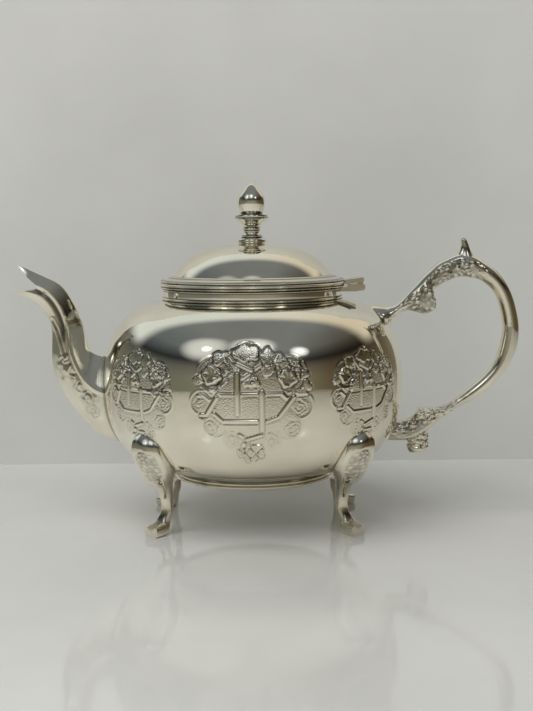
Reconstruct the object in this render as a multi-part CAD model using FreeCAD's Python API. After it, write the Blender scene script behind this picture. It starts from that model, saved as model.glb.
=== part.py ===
import FreeCAD, Part
import math
import os

from FreeCAD import Vector

# A silver teapot: round bowl on four cast legs, bird-beak spout, scrolled handle, hinged domed lid.
# Millimetres. Origin on the bowl's axis at table level, +Z up, spout towards -X, handle towards +X.

# Bowl
BOWL_RADIUS = 75.3          # widest circle
BOWL_DEPTH = 45.6           # bowl floor up to the widest circle
SHOULDER_HEIGHT = 41.5      # widest circle up to the collar
BOWL_FLOOR_RADIUS = 39.0    # flat part of the underside
BOWL_WALL = 1.2
FLOOR_PULL = 33.5           # how far the floor runs out flat before it turns up
LOWER_SIDE_PULL = 14.0      # how far the side stays upright below the widest circle
UPPER_SIDE_PULL = 32.0      # the same above it
SHOULDER_PULL = 14.0
SHOULDER_SLOPE = 12.0       # degrees, where the shoulder leaves the collar

# Base
LEG_CLEARANCE = 23.6        # table to the underside of the base ring
BASE_RING_HEIGHT = 2.8
BASE_RING_WIDTH = 2.6
BASE_PLATE_RADIUS = 38.0
BASE_PLATE_THICKNESS = 1.2
BASE_PLATE_RISE = 1.5       # the plate is dished upwards this much
BOWL_HOLE_RADIUS = 35.0     # hole in the bowl's floor that the plate closes

# Collar and lid
COLLAR_RADIUS = 45.0
COLLAR_WALL = 1.5
COLLAR_HEIGHT = 5.5
COLLAR_FOOT = 0.7           # small fillet bead where the collar meets the shoulder
LID_SEAT_GAP = 0.2
LID_OVERHANG = 1.8          # the rim's edge stands this far outside the collar
LID_RIM_HEIGHT = 4.0
LID_RIM_RISE = 2.0          # the rim's top slopes up to the dome
LID_SHEET = 1.2
LID_STEP_RADIUS = 39.4      # foot of the dome
LID_DOME_RISE = 15.8
DOME_EDGE_PULL = 9.5
DOME_EDGE_LEAN = 30.0       # degrees inwards from upright, at the foot of the dome
DOME_CROWN_PULL = 26.0
BEZEL_WALL = 1.0
BEZEL_DEPTH = 3.4
BEZEL_CLEARANCE = 0.4

# Finial, turned in two pieces on one threaded stud
BUD_RADIUS = 7.0
BUD_HEIGHT = 15.6
BUD_FOOT_RADIUS = 5.2
PEDESTAL_HEIGHT = 14.4      # crown of the dome up to the bud
PEDESTAL_DISC_RADIUS = 8.6
PEDESTAL_WAIST_RADIUS = 3.5
PEDESTAL_RING_RADIUS = 5.3
PEDESTAL_FOOT_RADIUS = 7.1
STUD_RADIUS = 1.5
STUD_CLEARANCE = 0.1
STUD_GRIP = 9.0             # length of stud inside the bud
NUT_RADIUS = 3.4            # across the corners
NUT_HEIGHT = 2.4
WASHER_RADIUS = 5.0
WASHER_THICKNESS = 1.0

# Lid hinge
HINGE_REACH = 9.7           # pin axis outside the collar
HINGE_DROP = 0.2            # pin axis below the collar's top
HINGE_WIDTH = 14.0
HINGE_PIN_RADIUS = 0.9
HINGE_KNUCKLE_RADIUS = 1.7
HINGE_FIXED_CLEARANCE = 0.02
HINGE_RUNNING_CLEARANCE = 0.05
HINGE_SIDE_GAP = 0.3
LID_KNUCKLE_WIDTH = 4.8
LEAF_THICKNESS = 2.1
LEAF_TILT = 7.0             # degrees, the lid's leaf rises towards the pin
PIN_END = 0.3

# Spout
SPOUT_WALL = 1.5
STRAINER_HOLE_RADIUS = 2.2
STRAINER_PITCH = 7.0
STRAINER_RINGS = 1

# Legs
KNEE_RISE = 18.6            # knee above the bowl's floor
LEG_TURN = 66.0             # degrees from the line through spout and handle to a leg's own plane
LEG_OFFSET = 26.0           # that plane passes the bowl's axis at this distance
TOE_LENGTH = 16.0
TOE_WIDTH = 8.8
TOE_HEIGHT = 4.5            # at the tip
TOE_RISE = 3.0              # the toe's top climbs this much towards the heel
TOE_TURN = 15.0             # degrees that the toe points outwards from the leg's plane

# Heights that follow from the sizes above
BASE_RING_Z = LEG_CLEARANCE
BOWL_FLOOR_Z = BASE_RING_Z + BASE_RING_HEIGHT
BOWL_WIDE_Z = BOWL_FLOOR_Z + BOWL_DEPTH
BOWL_TOP_Z = BOWL_WIDE_Z + SHOULDER_HEIGHT
COLLAR_TOP_Z = BOWL_TOP_Z + COLLAR_HEIGHT
LID_Z = COLLAR_TOP_Z + LID_SEAT_GAP
LID_RIM_TOP_Z = LID_Z + LID_RIM_HEIGHT
DOME_FOOT_Z = LID_RIM_TOP_Z + LID_RIM_RISE
DOME_CROWN_Z = DOME_FOOT_Z + LID_DOME_RISE
BUD_Z = DOME_CROWN_Z + PEDESTAL_HEIGHT
COLLAR_BORE = COLLAR_RADIUS - COLLAR_WALL
LID_RADIUS = COLLAR_RADIUS + LID_OVERHANG
BEZEL_RADIUS = COLLAR_BORE - BEZEL_CLEARANCE
LID_LEAF_START = (LID_RADIUS + BEZEL_RADIUS) / 2
HINGE_X = COLLAR_RADIUS + HINGE_REACH
HINGE_Z = COLLAR_TOP_Z - HINGE_DROP
KNEE_Z = BOWL_FLOOR_Z + KNEE_RISE

UP = Vector(0, 0, 1)
ALONG_Y = Vector(0, 1, 0)
CENTRE = Vector(0, 0, 0)
OVAL_POLES = 12
OVAL_POLE_SCALE = 3 / (2 + math.cos(2 * math.pi / OVAL_POLES))  # poles lie outside their curve


# Drawing helpers. A point is (distance along X or from the axis, height).

def at(point):
    return Vector(point[0], 0, point[1])


def line(start, end):
    return Part.LineSegment(at(start), at(end)).toShape()


def lines(*points):
    return [line(a, b) for a, b in zip(points, points[1:])]


def arc(start, middle, end):
    return Part.Arc(at(start), at(middle), at(end)).toShape()


def bezier(*poles):
    curve = Part.BezierCurve()
    curve.setPoles([at(pole) for pole in poles])
    return curve.toShape()


def smooth(*points):
    curve = Part.BSplineCurve()
    curve.interpolate([at(point) for point in points])
    return curve.toShape()


def outline(edges):
    return Part.Face(Part.Wire(edges))


def turned(edges):
    return outline(edges).revolve(CENTRE, UP, 360)


def polygon(points):
    return outline(lines(*points, points[0]))


def plate(points, width):
    """A flat shape in the XZ plane, given a thickness along Y about the middle."""
    face = polygon(points)
    face.translate(Vector(0, -width / 2, 0))
    return face.extrude(Vector(0, width, 0))


def rod(radius, length, x, z):
    """A round bar along Y, centred on the XZ plane."""
    return Part.makeCylinder(radius, length, Vector(x, -length / 2, z), ALONG_Y)


def one_solid(shape):
    """The main solid of a cut, without slivers."""
    return max(shape.Solids, key=lambda solid: solid.Volume)


def oval(outer, inner, half_width):
    """Poles of an oval across the XZ plane, as deep as two points are apart, from the outer one round."""
    a, b = at(outer), at(inner)
    middle = (a + b) * 0.5
    reach = (a - b) * (0.5 * OVAL_POLE_SCALE)
    side = ALONG_Y * (half_width * OVAL_POLE_SCALE)
    angles = [2 * math.pi * step / OVAL_POLES for step in range(OVAL_POLES)]
    return [middle + reach * math.cos(angle) + side * math.sin(angle) for angle in angles]


def cast(ovals):
    """A smooth closed body drawn through a row of ovals, with a flat face at each end."""
    middles = [sum(poles, Vector()) * (1 / OVAL_POLES) for poles in ovals]
    places = [0.0]
    for a, b in zip(middles, middles[1:]):
        places.append(places[-1] + math.sqrt(a.distanceToPoint(b)))
    strings = []
    for k in range(OVAL_POLES):
        string = Part.BSplineCurve()
        string.interpolate(Points=[poles[k] for poles in ovals], Parameters=places)
        strings.append(string)
    skin = Part.BSplineSurface()
    skin.buildFromPolesMultsKnots(
        [string.getPoles() for string in strings], [1] * (OVAL_POLES + 1), strings[0].getMultiplicities(),
        [float(k) for k in range(OVAL_POLES + 1)], strings[0].getKnots(), True, False, 3, 3)
    ends = [Part.Face(Part.Wire(skin.vIso(place).toShape())) for place in (places[0], places[-1])]
    shell = Part.makeShell([skin.toShape()] + ends)
    shell.sewShape()
    body = Part.Solid(shell)
    if body.Volume < 0:
        body.reverse()
    return body


# Bowl and base

def bowl_poles(wall):
    """Control points of the bowl's side, moved inwards by a wall: floor, side and shoulder."""
    slope = math.radians(SHOULDER_SLOPE)
    radius = BOWL_RADIUS - wall
    floor = (BOWL_FLOOR_RADIUS, BOWL_FLOOR_Z + wall)
    turn = (BOWL_FLOOR_RADIUS + FLOOR_PULL - wall, BOWL_FLOOR_Z + wall)
    low_side = (radius, BOWL_WIDE_Z - LOWER_SIDE_PULL)
    wide = (radius, BOWL_WIDE_Z)
    high_side = (radius, BOWL_WIDE_Z + UPPER_SIDE_PULL - wall)
    shoulder = (COLLAR_RADIUS + SHOULDER_PULL * math.cos(slope),
                BOWL_TOP_Z - wall - SHOULDER_PULL * math.sin(slope))
    neck = (COLLAR_RADIUS, BOWL_TOP_Z - wall)
    return (floor, turn, low_side, wide), (wide, high_side, shoulder, neck)


def bowl_solid(wall):
    """The bowl as a filled body, out to a surface this far inside its outside."""
    lower, upper = bowl_poles(wall)
    floor, neck = lower[0], upper[-1]
    side = [bezier(*lower), bezier(*upper)]
    caps = lines(neck, (0, neck[1]), (0, floor[1]), floor)
    return turned(side + caps)


def bowl_radius_at(z):
    """Outside radius of the bowl at a height."""
    lower, upper = bowl_poles(0)
    poles = lower if z < BOWL_WIDE_Z else upper
    low, high = 0.0, 1.0
    for _ in range(40):
        t = (low + high) / 2
        shares = ((1 - t) ** 3, 3 * t * (1 - t) ** 2, 3 * t * t * (1 - t), t ** 3)
        height = sum(share * pole[1] for share, pole in zip(shares, poles))
        if height < z:
            low = t
        else:
            high = t
    return sum(share * pole[0] for share, pole in zip(shares, poles))


def strainer_holes():
    """A hexagonal group of holes through the bowl's wall behind the spout."""
    middle = (SPOUT_ROOT_TOP + SPOUT_ROOT_BOTTOM) / 2
    holes = []
    for row in range(-STRAINER_RINGS, STRAINER_RINGS + 1):
        count = 2 * STRAINER_RINGS + 1 - abs(row)
        z = middle + row * STRAINER_PITCH * math.sin(math.radians(60))
        for place in range(count):
            y = (place - (count - 1) / 2) * STRAINER_PITCH
            start = Vector(-BOWL_RADIUS - SPOUT_WALL, y, z)
            holes.append(Part.makeCylinder(STRAINER_HOLE_RADIUS, BOWL_RADIUS / 2, start, Vector(1, 0, 0)))
    return holes


def make_body_shell():
    shell = bowl_solid(0).cut(bowl_solid(BOWL_WALL))
    mouth_tool = Part.makeCylinder(COLLAR_BORE, SHOULDER_HEIGHT, Vector(0, 0, BOWL_WIDE_Z + BOWL_WALL))
    floor_tool = Part.makeCylinder(BOWL_HOLE_RADIUS, BOWL_DEPTH, Vector(0, 0, BASE_RING_Z))
    return one_solid(shell.cut([mouth_tool, floor_tool] + strainer_holes()))


def dished(radius, edge_z):
    """Half an outline of a shallow dish, from its edge up to the axis, with its centre on the axis."""
    ball = (radius ** 2 + BASE_PLATE_RISE ** 2) / (2 * BASE_PLATE_RISE)
    crown = edge_z + BASE_PLATE_RISE
    middle = (radius / 2, crown - ball + math.sqrt(ball ** 2 - (radius / 2) ** 2))
    return arc((radius, edge_z), middle, (0, crown))


def make_base_plate():
    top = BOWL_FLOOR_Z
    bottom = BOWL_FLOOR_Z - BASE_PLATE_THICKNESS
    edge = BASE_PLATE_RADIUS
    dish = BOWL_HOLE_RADIUS - BOWL_WALL
    rim = lines((dish, bottom), (edge, bottom), (edge, top), (dish, top))
    axis = line((0, top + BASE_PLATE_RISE), (0, bottom + BASE_PLATE_RISE))
    return turned(rim + [dished(dish, top), axis, dished(dish, bottom)])


def make_base_ring():
    inner = BASE_PLATE_RADIUS
    outer = BASE_PLATE_RADIUS + BASE_RING_WIDTH
    neck = outer - BASE_RING_WIDTH / 3
    low, high = BASE_RING_Z, BOWL_FLOOR_Z
    swell = BASE_RING_HEIGHT / 3
    edges = lines((neck, high), (inner, high), (inner, low), (neck, low))
    edges.append(arc((neck, low), (outer, low + swell), (neck, low + 2 * swell)))
    edges.append(line((neck, low + 2 * swell), (neck, high)))
    return turned(edges)


def make_collar():
    foot = COLLAR_RADIUS + COLLAR_FOOT
    edges = lines((COLLAR_RADIUS, BOWL_TOP_Z + 2 * COLLAR_FOOT), (COLLAR_RADIUS, COLLAR_TOP_Z),
                  (COLLAR_BORE, COLLAR_TOP_Z), (COLLAR_BORE, BOWL_TOP_Z), (COLLAR_RADIUS, BOWL_TOP_Z))
    edges.append(arc((COLLAR_RADIUS, BOWL_TOP_Z), (foot, BOWL_TOP_Z + COLLAR_FOOT),
                     (COLLAR_RADIUS, BOWL_TOP_Z + 2 * COLLAR_FOOT)))
    return turned(edges)


# Lid

def stud_hole(z, length):
    return Part.makeCylinder(STUD_RADIUS + STUD_CLEARANCE, length, Vector(0, 0, z))


def dome_poles(sheet):
    lean = math.radians(DOME_EDGE_LEAN)
    foot = (LID_STEP_RADIUS - sheet, DOME_FOOT_Z)
    edge = (foot[0] - DOME_EDGE_PULL * math.sin(lean), DOME_FOOT_Z + DOME_EDGE_PULL * math.cos(lean))
    crown = (DOME_CROWN_PULL, DOME_CROWN_Z - sheet)
    top = (0, DOME_CROWN_Z - sheet)
    return foot, edge, crown, top


def dome_solid(sheet):
    poles = dome_poles(sheet)
    return turned([bezier(*poles)] + lines(poles[-1], (0, DOME_FOOT_Z), poles[0]))


def make_lid_dome():
    hole = stud_hole(DOME_FOOT_Z + LID_SHEET, LID_DOME_RISE)
    return one_solid(dome_solid(0).cut([dome_solid(LID_SHEET), hole]))


def make_lid_rim():
    """A rolled ring: sloping top, two fine beads and a swelling at its edge, flat seat below."""
    bead = LID_RIM_HEIGHT / 8
    edge = LID_RADIUS - 2 * bead
    z = LID_Z
    edges = [line((BEZEL_RADIUS - BEZEL_WALL, z), (edge, z))]
    edges.append(arc((edge, z), (edge + bead, z + bead), (edge, z + 2 * bead)))
    edges.append(arc((edge, z + 2 * bead), (LID_RADIUS, z + 4 * bead), (edge, z + 6 * bead)))
    edges.append(arc((edge, z + 6 * bead), (edge + bead, z + 7 * bead), (edge, z + 8 * bead)))
    edges += lines((edge, LID_RIM_TOP_Z), (LID_STEP_RADIUS, DOME_FOOT_Z),
                   (LID_STEP_RADIUS - LID_SHEET, DOME_FOOT_Z),
                   (LID_STEP_RADIUS - LID_SHEET, DOME_FOOT_Z - LID_SHEET),
                   (BEZEL_RADIUS - BEZEL_WALL, LID_RIM_TOP_Z - LID_SHEET),
                   (BEZEL_RADIUS - BEZEL_WALL, z))
    return turned(edges)


def make_lid_bezel():
    outer, inner = BEZEL_RADIUS, BEZEL_RADIUS - BEZEL_WALL
    low = LID_Z - BEZEL_DEPTH
    return turned(lines((inner, low), (outer, low), (outer, LID_Z), (inner, LID_Z), (inner, low)))


# Finial

def make_finial_bud():
    foot, tip = (BUD_FOOT_RADIUS, BUD_Z), (0, BUD_Z + BUD_HEIGHT)
    side = smooth(foot, (BUD_RADIUS, BUD_Z + BUD_HEIGHT * 0.33),
                  (BUD_RADIUS * 0.86, BUD_Z + BUD_HEIGHT * 0.62),
                  (BUD_RADIUS * 0.45, BUD_Z + BUD_HEIGHT * 0.86), tip)
    bud = turned([side] + lines(tip, (0, BUD_Z), foot))
    return one_solid(bud.cut(stud_hole(BUD_Z, STUD_GRIP + STUD_CLEARANCE)))


def make_finial_pedestal():
    """A spool: thin disc under the bud, narrow waist, a ring, and a foot on the dome."""
    top, low = BUD_Z, DOME_CROWN_Z
    step = PEDESTAL_HEIGHT / 14
    disc, waist = PEDESTAL_DISC_RADIUS, PEDESTAL_WAIST_RADIUS
    ring, foot = PEDESTAL_RING_RADIUS, PEDESTAL_FOOT_RADIUS
    edges = [line((0, top), (disc - step / 2, top))]
    edges.append(arc((disc - step / 2, top), (disc, top - step / 2), (disc - step / 2, top - step)))
    edges.append(smooth((disc - step / 2, top - step), (waist + step, top - 3.6 * step),
                        (waist, top - 6 * step), (waist, top - 9 * step)))
    edges.append(arc((waist, top - 9 * step), (ring, top - 10 * step), (waist + step, top - 11 * step)))
    edges.append(arc((waist + step, top - 11 * step), (foot, low + step), (foot - step, low - step / 2)))
    edges += lines((foot - step, low - step / 2), (foot - step, low - step), (0, low - step), (0, top))
    spool = turned(edges).cut([dome_solid(0), stud_hole(low - 2 * step, PEDESTAL_HEIGHT + 4 * step)])
    return one_solid(spool)


def make_finial_washer():
    top = DOME_CROWN_Z - LID_SHEET
    bottom = Vector(0, 0, top - WASHER_THICKNESS)
    washer = Part.makeCylinder(WASHER_RADIUS, WASHER_THICKNESS + LID_SHEET / 2, bottom)
    crown = dome_solid(0).cut(dome_solid(LID_SHEET))
    hole = stud_hole(top - 2 * WASHER_THICKNESS, 4 * WASHER_THICKNESS)
    return one_solid(washer.cut([crown, hole]))


def nut_bottom():
    return DOME_CROWN_Z - LID_SHEET - WASHER_THICKNESS - NUT_HEIGHT


def make_finial_nut():
    corners = [(NUT_RADIUS * math.cos(math.radians(60 * k)), NUT_RADIUS * math.sin(math.radians(60 * k)))
               for k in range(6)]
    points = [Vector(x, y, nut_bottom()) for x, y in corners]
    nut = Part.Face(Part.makePolygon(points + points[:1])).extrude(UP * NUT_HEIGHT)
    return one_solid(nut.cut(stud_hole(nut_bottom() - NUT_HEIGHT, 3 * NUT_HEIGHT)))


def make_finial_stud():
    bottom = nut_bottom() - NUT_HEIGHT / 4
    return Part.makeCylinder(STUD_RADIUS, BUD_Z + STUD_GRIP - bottom, Vector(0, 0, bottom))


# Hinge

def lid_leaf_underside(x):
    """Height of the underside of the lid's leaf, which rises towards the pin."""
    return LID_Z + LID_RIM_HEIGHT / 4 + (x - LID_LEAF_START) * math.tan(math.radians(LEAF_TILT))


def make_hinge_collar_leaf():
    """A plate soldered to the collar, thicker outside the lid, with a knuckle at each side."""
    reach = HINGE_KNUCKLE_RADIUS + HINGE_SIDE_GAP
    end = HINGE_X - reach
    bottom = HINGE_Z - LEAF_THICKNESS
    leaf = plate([(COLLAR_BORE, bottom), (end, bottom), (end, HINGE_Z), (COLLAR_BORE, HINGE_Z)], HINGE_WIDTH)
    start = LID_RADIUS + 2 * HINGE_SIDE_GAP
    block = plate([(start, bottom), (HINGE_X, HINGE_Z - HINGE_KNUCKLE_RADIUS),
                   (HINGE_X, HINGE_Z + HINGE_KNUCKLE_RADIUS),
                   (start, lid_leaf_underside(start) - HINGE_SIDE_GAP)], HINGE_WIDTH)
    leaf = leaf.fuse([block, rod(HINGE_KNUCKLE_RADIUS, HINGE_WIDTH, HINGE_X, HINGE_Z)])
    slot_width = LID_KNUCKLE_WIDTH + 2 * HINGE_SIDE_GAP
    slot = Part.makeBox(3 * reach, slot_width, 4 * reach,
                        Vector(HINGE_X - reach, -slot_width / 2, HINGE_Z - 2 * reach))
    bore = rod(HINGE_PIN_RADIUS + HINGE_FIXED_CLEARANCE, 2 * HINGE_WIDTH, HINGE_X, HINGE_Z)
    collar = Part.makeCylinder(COLLAR_RADIUS, 4 * COLLAR_HEIGHT, Vector(0, 0, BOWL_TOP_Z - COLLAR_HEIGHT))
    return one_solid(leaf.cut([slot, bore, collar]).removeSplitter())


def make_hinge_lid_leaf():
    """A plate on the lid's rim that reaches over the pin, with one knuckle in the middle."""
    start, end = LID_LEAF_START, HINGE_X + HINGE_PIN_RADIUS
    low, end_low = lid_leaf_underside(start), lid_leaf_underside(end)
    leaf = plate([(start, low), (end, end_low), (end, end_low + LEAF_THICKNESS),
                  (start, low + LEAF_THICKNESS)], HINGE_WIDTH)
    web_start, web_top = HINGE_X - HINGE_KNUCKLE_RADIUS, end_low + LEAF_THICKNESS / 2
    web = plate([(web_start, HINGE_Z), (end, HINGE_Z), (end, web_top), (web_start, web_top)],
                LID_KNUCKLE_WIDTH)
    knuckle = rod(HINGE_KNUCKLE_RADIUS, LID_KNUCKLE_WIDTH, HINGE_X, HINGE_Z)
    bore = rod(HINGE_PIN_RADIUS + HINGE_RUNNING_CLEARANCE, 2 * HINGE_WIDTH, HINGE_X, HINGE_Z)
    return one_solid(leaf.fuse([web, knuckle]).cut([bore, make_lid_rim()]).removeSplitter())


def make_hinge_pin():
    return rod(HINGE_PIN_RADIUS, HINGE_WIDTH + 2 * PIN_END, HINGE_X, HINGE_Z)


# Spout. Each station is (back of the neck, belly of the neck, half width); a place is given by its
# distance outside the bowl's widest circle and its height above that circle.

SPOUT_STATIONS = [
    ((-18.0, 13.0), (-18.0, -31.0), 12.0),
    ((0.5, 12.8), (0.0, -28.8), 12.0),
    ((7.3, 16.2), (10.7, -19.7), 11.0),
    ((8.8, 20.2), (19.2, -9.0), 9.8),
    ((9.3, 23.5), (25.7, 6.0), 8.8),
    ((10.1, 27.5), (26.6, 17.0), 8.0),
    ((12.0, 32.8), (26.4, 27.0), 7.3),
    ((15.7, 41.4), (29.1, 35.0), 6.8),
    ((22.1, 50.0), (34.2, 40.6), 6.5),
    ((31.5, 54.6), (39.7, 43.0), 5.2),
    ((42.2, 59.4), (44.2, 45.6), 1.6),
]
SPOUT_BORE_END = 9          # the bore runs as far as this station, where the beak opens
SPOUT_MOUTH = [(32.2, 49.0), (33.8, 46.9), (50.0, 46.2), (50.0, 65.0), (41.2, 57.6), (37.6, 53.4)]
SPOUT_ROOT_TOP = BOWL_WIDE_Z + SPOUT_STATIONS[1][0][1]
SPOUT_ROOT_BOTTOM = BOWL_WIDE_Z + SPOUT_STATIONS[1][1][1]


def on_spout(place):
    return -BOWL_RADIUS - place[0], BOWL_WIDE_Z + place[1]


def drawn_in(station, wall):
    """The same oval with a wall taken off all round."""
    back, belly, half_width = station
    share = wall / math.dist(back, belly)
    step_x, step_z = (belly[0] - back[0]) * share, (belly[1] - back[1]) * share
    return (back[0] + step_x, back[1] + step_z), (belly[0] - step_x, belly[1] - step_z), half_width - wall


def spout_body(stations):
    return cast([oval(on_spout(back), on_spout(belly), half_width) for back, belly, half_width in stations])


def make_spout():
    outside = spout_body(SPOUT_STATIONS)
    bore = spout_body([drawn_in(station, SPOUT_WALL) for station in SPOUT_STATIONS[:SPOUT_BORE_END + 1]])
    mouth = plate([on_spout(place) for place in SPOUT_MOUTH], BOWL_RADIUS)
    return one_solid(outside.cut([bore, mouth, bowl_solid(0)]))


# Handle. Each station is (outer point, inner point, half width), placed like the spout's.

HANDLE_STATIONS = [
    ((-25.0, 27.0), (-14.0, 18.0), 7.5),
    ((-14.8, 37.2), (-6.0, 26.6), 7.5),
    ((-8.3, 37.0), (-3.3, 30.3), 5.5),
    ((-2.4, 37.9), (-0.3, 33.0), 4.0),
    ((3.7, 44.2), (7.7, 34.0), 5.0),
    ((10.2, 51.5), (16.2, 35.5), 6.2),
    ((15.7, 56.8), (16.8, 45.2), 6.0),
    ((21.7, 60.2), (22.4, 48.7), 5.5),
    ((30.5, 62.4), (30.3, 50.9), 5.0),
    ((38.5, 60.4), (36.7, 50.3), 4.6),
    ((46.9, 53.3), (43.0, 47.2), 4.3),
    ((54.4, 42.5), (47.7, 40.5), 4.2),
    ((59.0, 26.4), (50.5, 26.4), 4.2),
    ((57.9, 14.7), (49.1, 16.0), 4.2),
    ((51.7, 2.5), (44.9, 6.0), 4.0),
    ((40.7, -8.5), (36.2, -3.2), 4.0),
    ((27.1, -15.7), (24.7, -12.2), 3.8),
    ((20.2, -19.7), (17.2, -15.0), 4.5),
    ((12.7, -27.0), (9.7, -15.6), 5.6),
    ((1.5, -31.5), (1.5, -20.6), 6.5),
    ((-12.0, -31.5), (-12.0, -20.6), 6.5),
]
HANDLE_SPIKE = [(26.0, 58.0), (29.4, 65.0), (31.2, 70.7), (33.2, 67.5), (36.5, 58.0)]
HANDLE_SPIKE_WIDTH = 3.0
HANDLE_DROP_X = 7.8         # centre of the stub that hangs below the lower bracket
HANDLE_DROP_RADIUS = 5.7
HANDLE_DROP_TOP = -22.0
HANDLE_DROP_BOTTOM = -38.0
HANDLE_DROP_EDGE = 1.5


def on_handle(place):
    return BOWL_RADIUS + place[0], BOWL_WIDE_Z + place[1]


def make_handle():
    bar = cast([oval(on_handle(outer), on_handle(inner), half_width)
                for outer, inner, half_width in HANDLE_STATIONS])
    spike = plate([on_handle(place) for place in HANDLE_SPIKE], HANDLE_SPIKE_WIDTH)
    foot = on_handle((HANDLE_DROP_X, HANDLE_DROP_BOTTOM))
    drop = Part.makeCylinder(HANDLE_DROP_RADIUS, HANDLE_DROP_TOP - HANDLE_DROP_BOTTOM, at(foot))
    round_z = foot[1] + HANDLE_DROP_EDGE
    rims = [edge for edge in drop.Edges if edge.isClosed() and edge.CenterOfMass.z < round_z]
    drop = drop.makeFillet(HANDLE_DROP_EDGE, rims)
    return one_solid(bar.fuse([spike, drop]).cut(bowl_solid(0)))


# Legs. A station is (outer reach, outer height, inner reach, inner height, half width). Reaches are
# measured in the leg's plane from the bowl's side at the knee, and heights from the knee, or from the table.

KNEE_STATIONS = [
    (0.8, 10.0, -5.2, 6.0, 3.5),
    (5.3, 5.0, -6.2, 1.0, 8.0),
    (5.8, -1.5, -9.2, -5.0, 9.7),
    (1.3, -9.0, -12.7, -10.5, 9.2),
    (-5.7, -15.5, -17.2, -15.5, 6.6),
]
ANKLE_STATIONS = [
    (-13.7, 23.5, -21.2, 24.5, 3.9),
    (-18.7, 18.0, -24.4, 18.5, 3.0),
    (-20.2, 12.5, -26.4, 12.0, 2.9),
    (-19.4, 7.0, -27.2, 5.2, 3.2),
    (-19.5, 2.8, -27.2, 1.4, 3.4),
]
HEEL_REACH = -27.5          # back of the toe pad, measured like the stations


def make_toe(heel):
    """A wedge with a flat sole that drops from the heel to a rounded tip."""
    tip = heel + TOE_LENGTH
    round_end = TOE_WIDTH / 2
    heel_height = TOE_HEIGHT + TOE_RISE
    wedge = plate([(heel, 0), (tip, 0), (tip, TOE_HEIGHT), (heel, heel_height)], TOE_WIDTH)
    block = Part.makeBox(TOE_LENGTH - round_end, TOE_WIDTH, heel_height, Vector(heel, -round_end, 0))
    nose = Part.makeCylinder(round_end, heel_height, Vector(tip - round_end, 0, 0))
    toe = wedge.common(block.fuse(nose).removeSplitter())
    toe.rotate(Vector(heel, 0, 0), UP, -TOE_TURN)
    return toe


def make_leg(side_x, side_y):
    """A leg in a plane of its own that passes beside the bowl's axis."""
    knee = math.sqrt(bowl_radius_at(KNEE_Z) ** 2 - LEG_OFFSET ** 2)
    ovals = []
    for base_z, stations in ((KNEE_Z, KNEE_STATIONS), (0.0, ANKLE_STATIONS)):
        for outer_reach, outer_z, inner_reach, inner_z, half_width in stations:
            outer = (knee + outer_reach, base_z + outer_z)
            inner = (knee + inner_reach, base_z + inner_z)
            ovals.append(oval(outer, inner, half_width))
    leg = cast(ovals).fuse(make_toe(knee + HEEL_REACH))
    leg.translate(Vector(0, -LEG_OFFSET, 0))
    leg.rotate(CENTRE, UP, LEG_TURN)
    leg = one_solid(leg.cut(bowl_solid(0)))
    if side_x < 0:
        leg = leg.mirror(CENTRE, Vector(1, 0, 0))
    if side_y < 0:
        leg = leg.mirror(CENTRE, Vector(0, 1, 0))
    return leg


PIECES = {
    "body_shell": make_body_shell(),
    "base_plate": make_base_plate(),
    "base_ring": make_base_ring(),
    "collar": make_collar(),
    "spout": make_spout(),
    "handle": make_handle(),
    "leg_front_left": make_leg(-1, -1),
    "leg_front_right": make_leg(1, -1),
    "leg_back_left": make_leg(-1, 1),
    "leg_back_right": make_leg(1, 1),
    "hinge_collar_leaf": make_hinge_collar_leaf(),
    "hinge_lid_leaf": make_hinge_lid_leaf(),
    "hinge_pin": make_hinge_pin(),
    "lid_rim": make_lid_rim(),
    "lid_dome": make_lid_dome(),
    "lid_bezel": make_lid_bezel(),
    "finial_pedestal": make_finial_pedestal(),
    "finial_bud": make_finial_bud(),
    "finial_stud": make_finial_stud(),
    "finial_washer": make_finial_washer(),
    "finial_nut": make_finial_nut(),
}

os.makedirs("parts", exist_ok=True)
for name, shape in PIECES.items():
    shape.exportStep("parts/" + name + ".step")
    box = shape.BoundBox
    print(name, shape.ShapeType, "valid", shape.isValid(), "solids", len(shape.Solids),
          "volume %.0f" % shape.Volume, "x %.1f to %.1f, y %.1f to %.1f, z %.1f to %.1f"
          % (box.XMin, box.XMax, box.YMin, box.YMax, box.ZMin, box.ZMax))
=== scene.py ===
import math

import bmesh
import bpy
import numpy as np
from mathutils import Matrix, Vector, noise


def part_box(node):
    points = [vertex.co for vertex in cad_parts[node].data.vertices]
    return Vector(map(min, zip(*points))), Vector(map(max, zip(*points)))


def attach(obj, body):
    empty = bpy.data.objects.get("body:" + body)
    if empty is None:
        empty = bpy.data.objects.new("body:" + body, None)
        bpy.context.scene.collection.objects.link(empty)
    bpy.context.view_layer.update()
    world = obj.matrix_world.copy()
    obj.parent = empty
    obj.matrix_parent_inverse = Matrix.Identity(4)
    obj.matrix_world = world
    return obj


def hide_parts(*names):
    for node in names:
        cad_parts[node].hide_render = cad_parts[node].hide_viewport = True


# A silver teapot: chased bowl, cast spout, handle and legs, turned lid, in a pale studio.
# Sizes are in millimetres and become metres when a mesh is made. A point of an outline is
# (distance along X or from the axis, height above the table). The camera looks along +Y.

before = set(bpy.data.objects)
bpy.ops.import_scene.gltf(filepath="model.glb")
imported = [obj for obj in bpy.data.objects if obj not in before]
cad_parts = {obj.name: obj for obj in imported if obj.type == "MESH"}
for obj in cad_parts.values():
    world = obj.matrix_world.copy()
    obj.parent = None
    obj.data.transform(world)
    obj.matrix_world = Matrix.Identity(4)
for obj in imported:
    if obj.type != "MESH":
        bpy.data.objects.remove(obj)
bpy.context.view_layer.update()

MM = 0.001


def lowest(node):
    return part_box(node)[0] / MM


def highest(node):
    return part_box(node)[1] / MM


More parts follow.
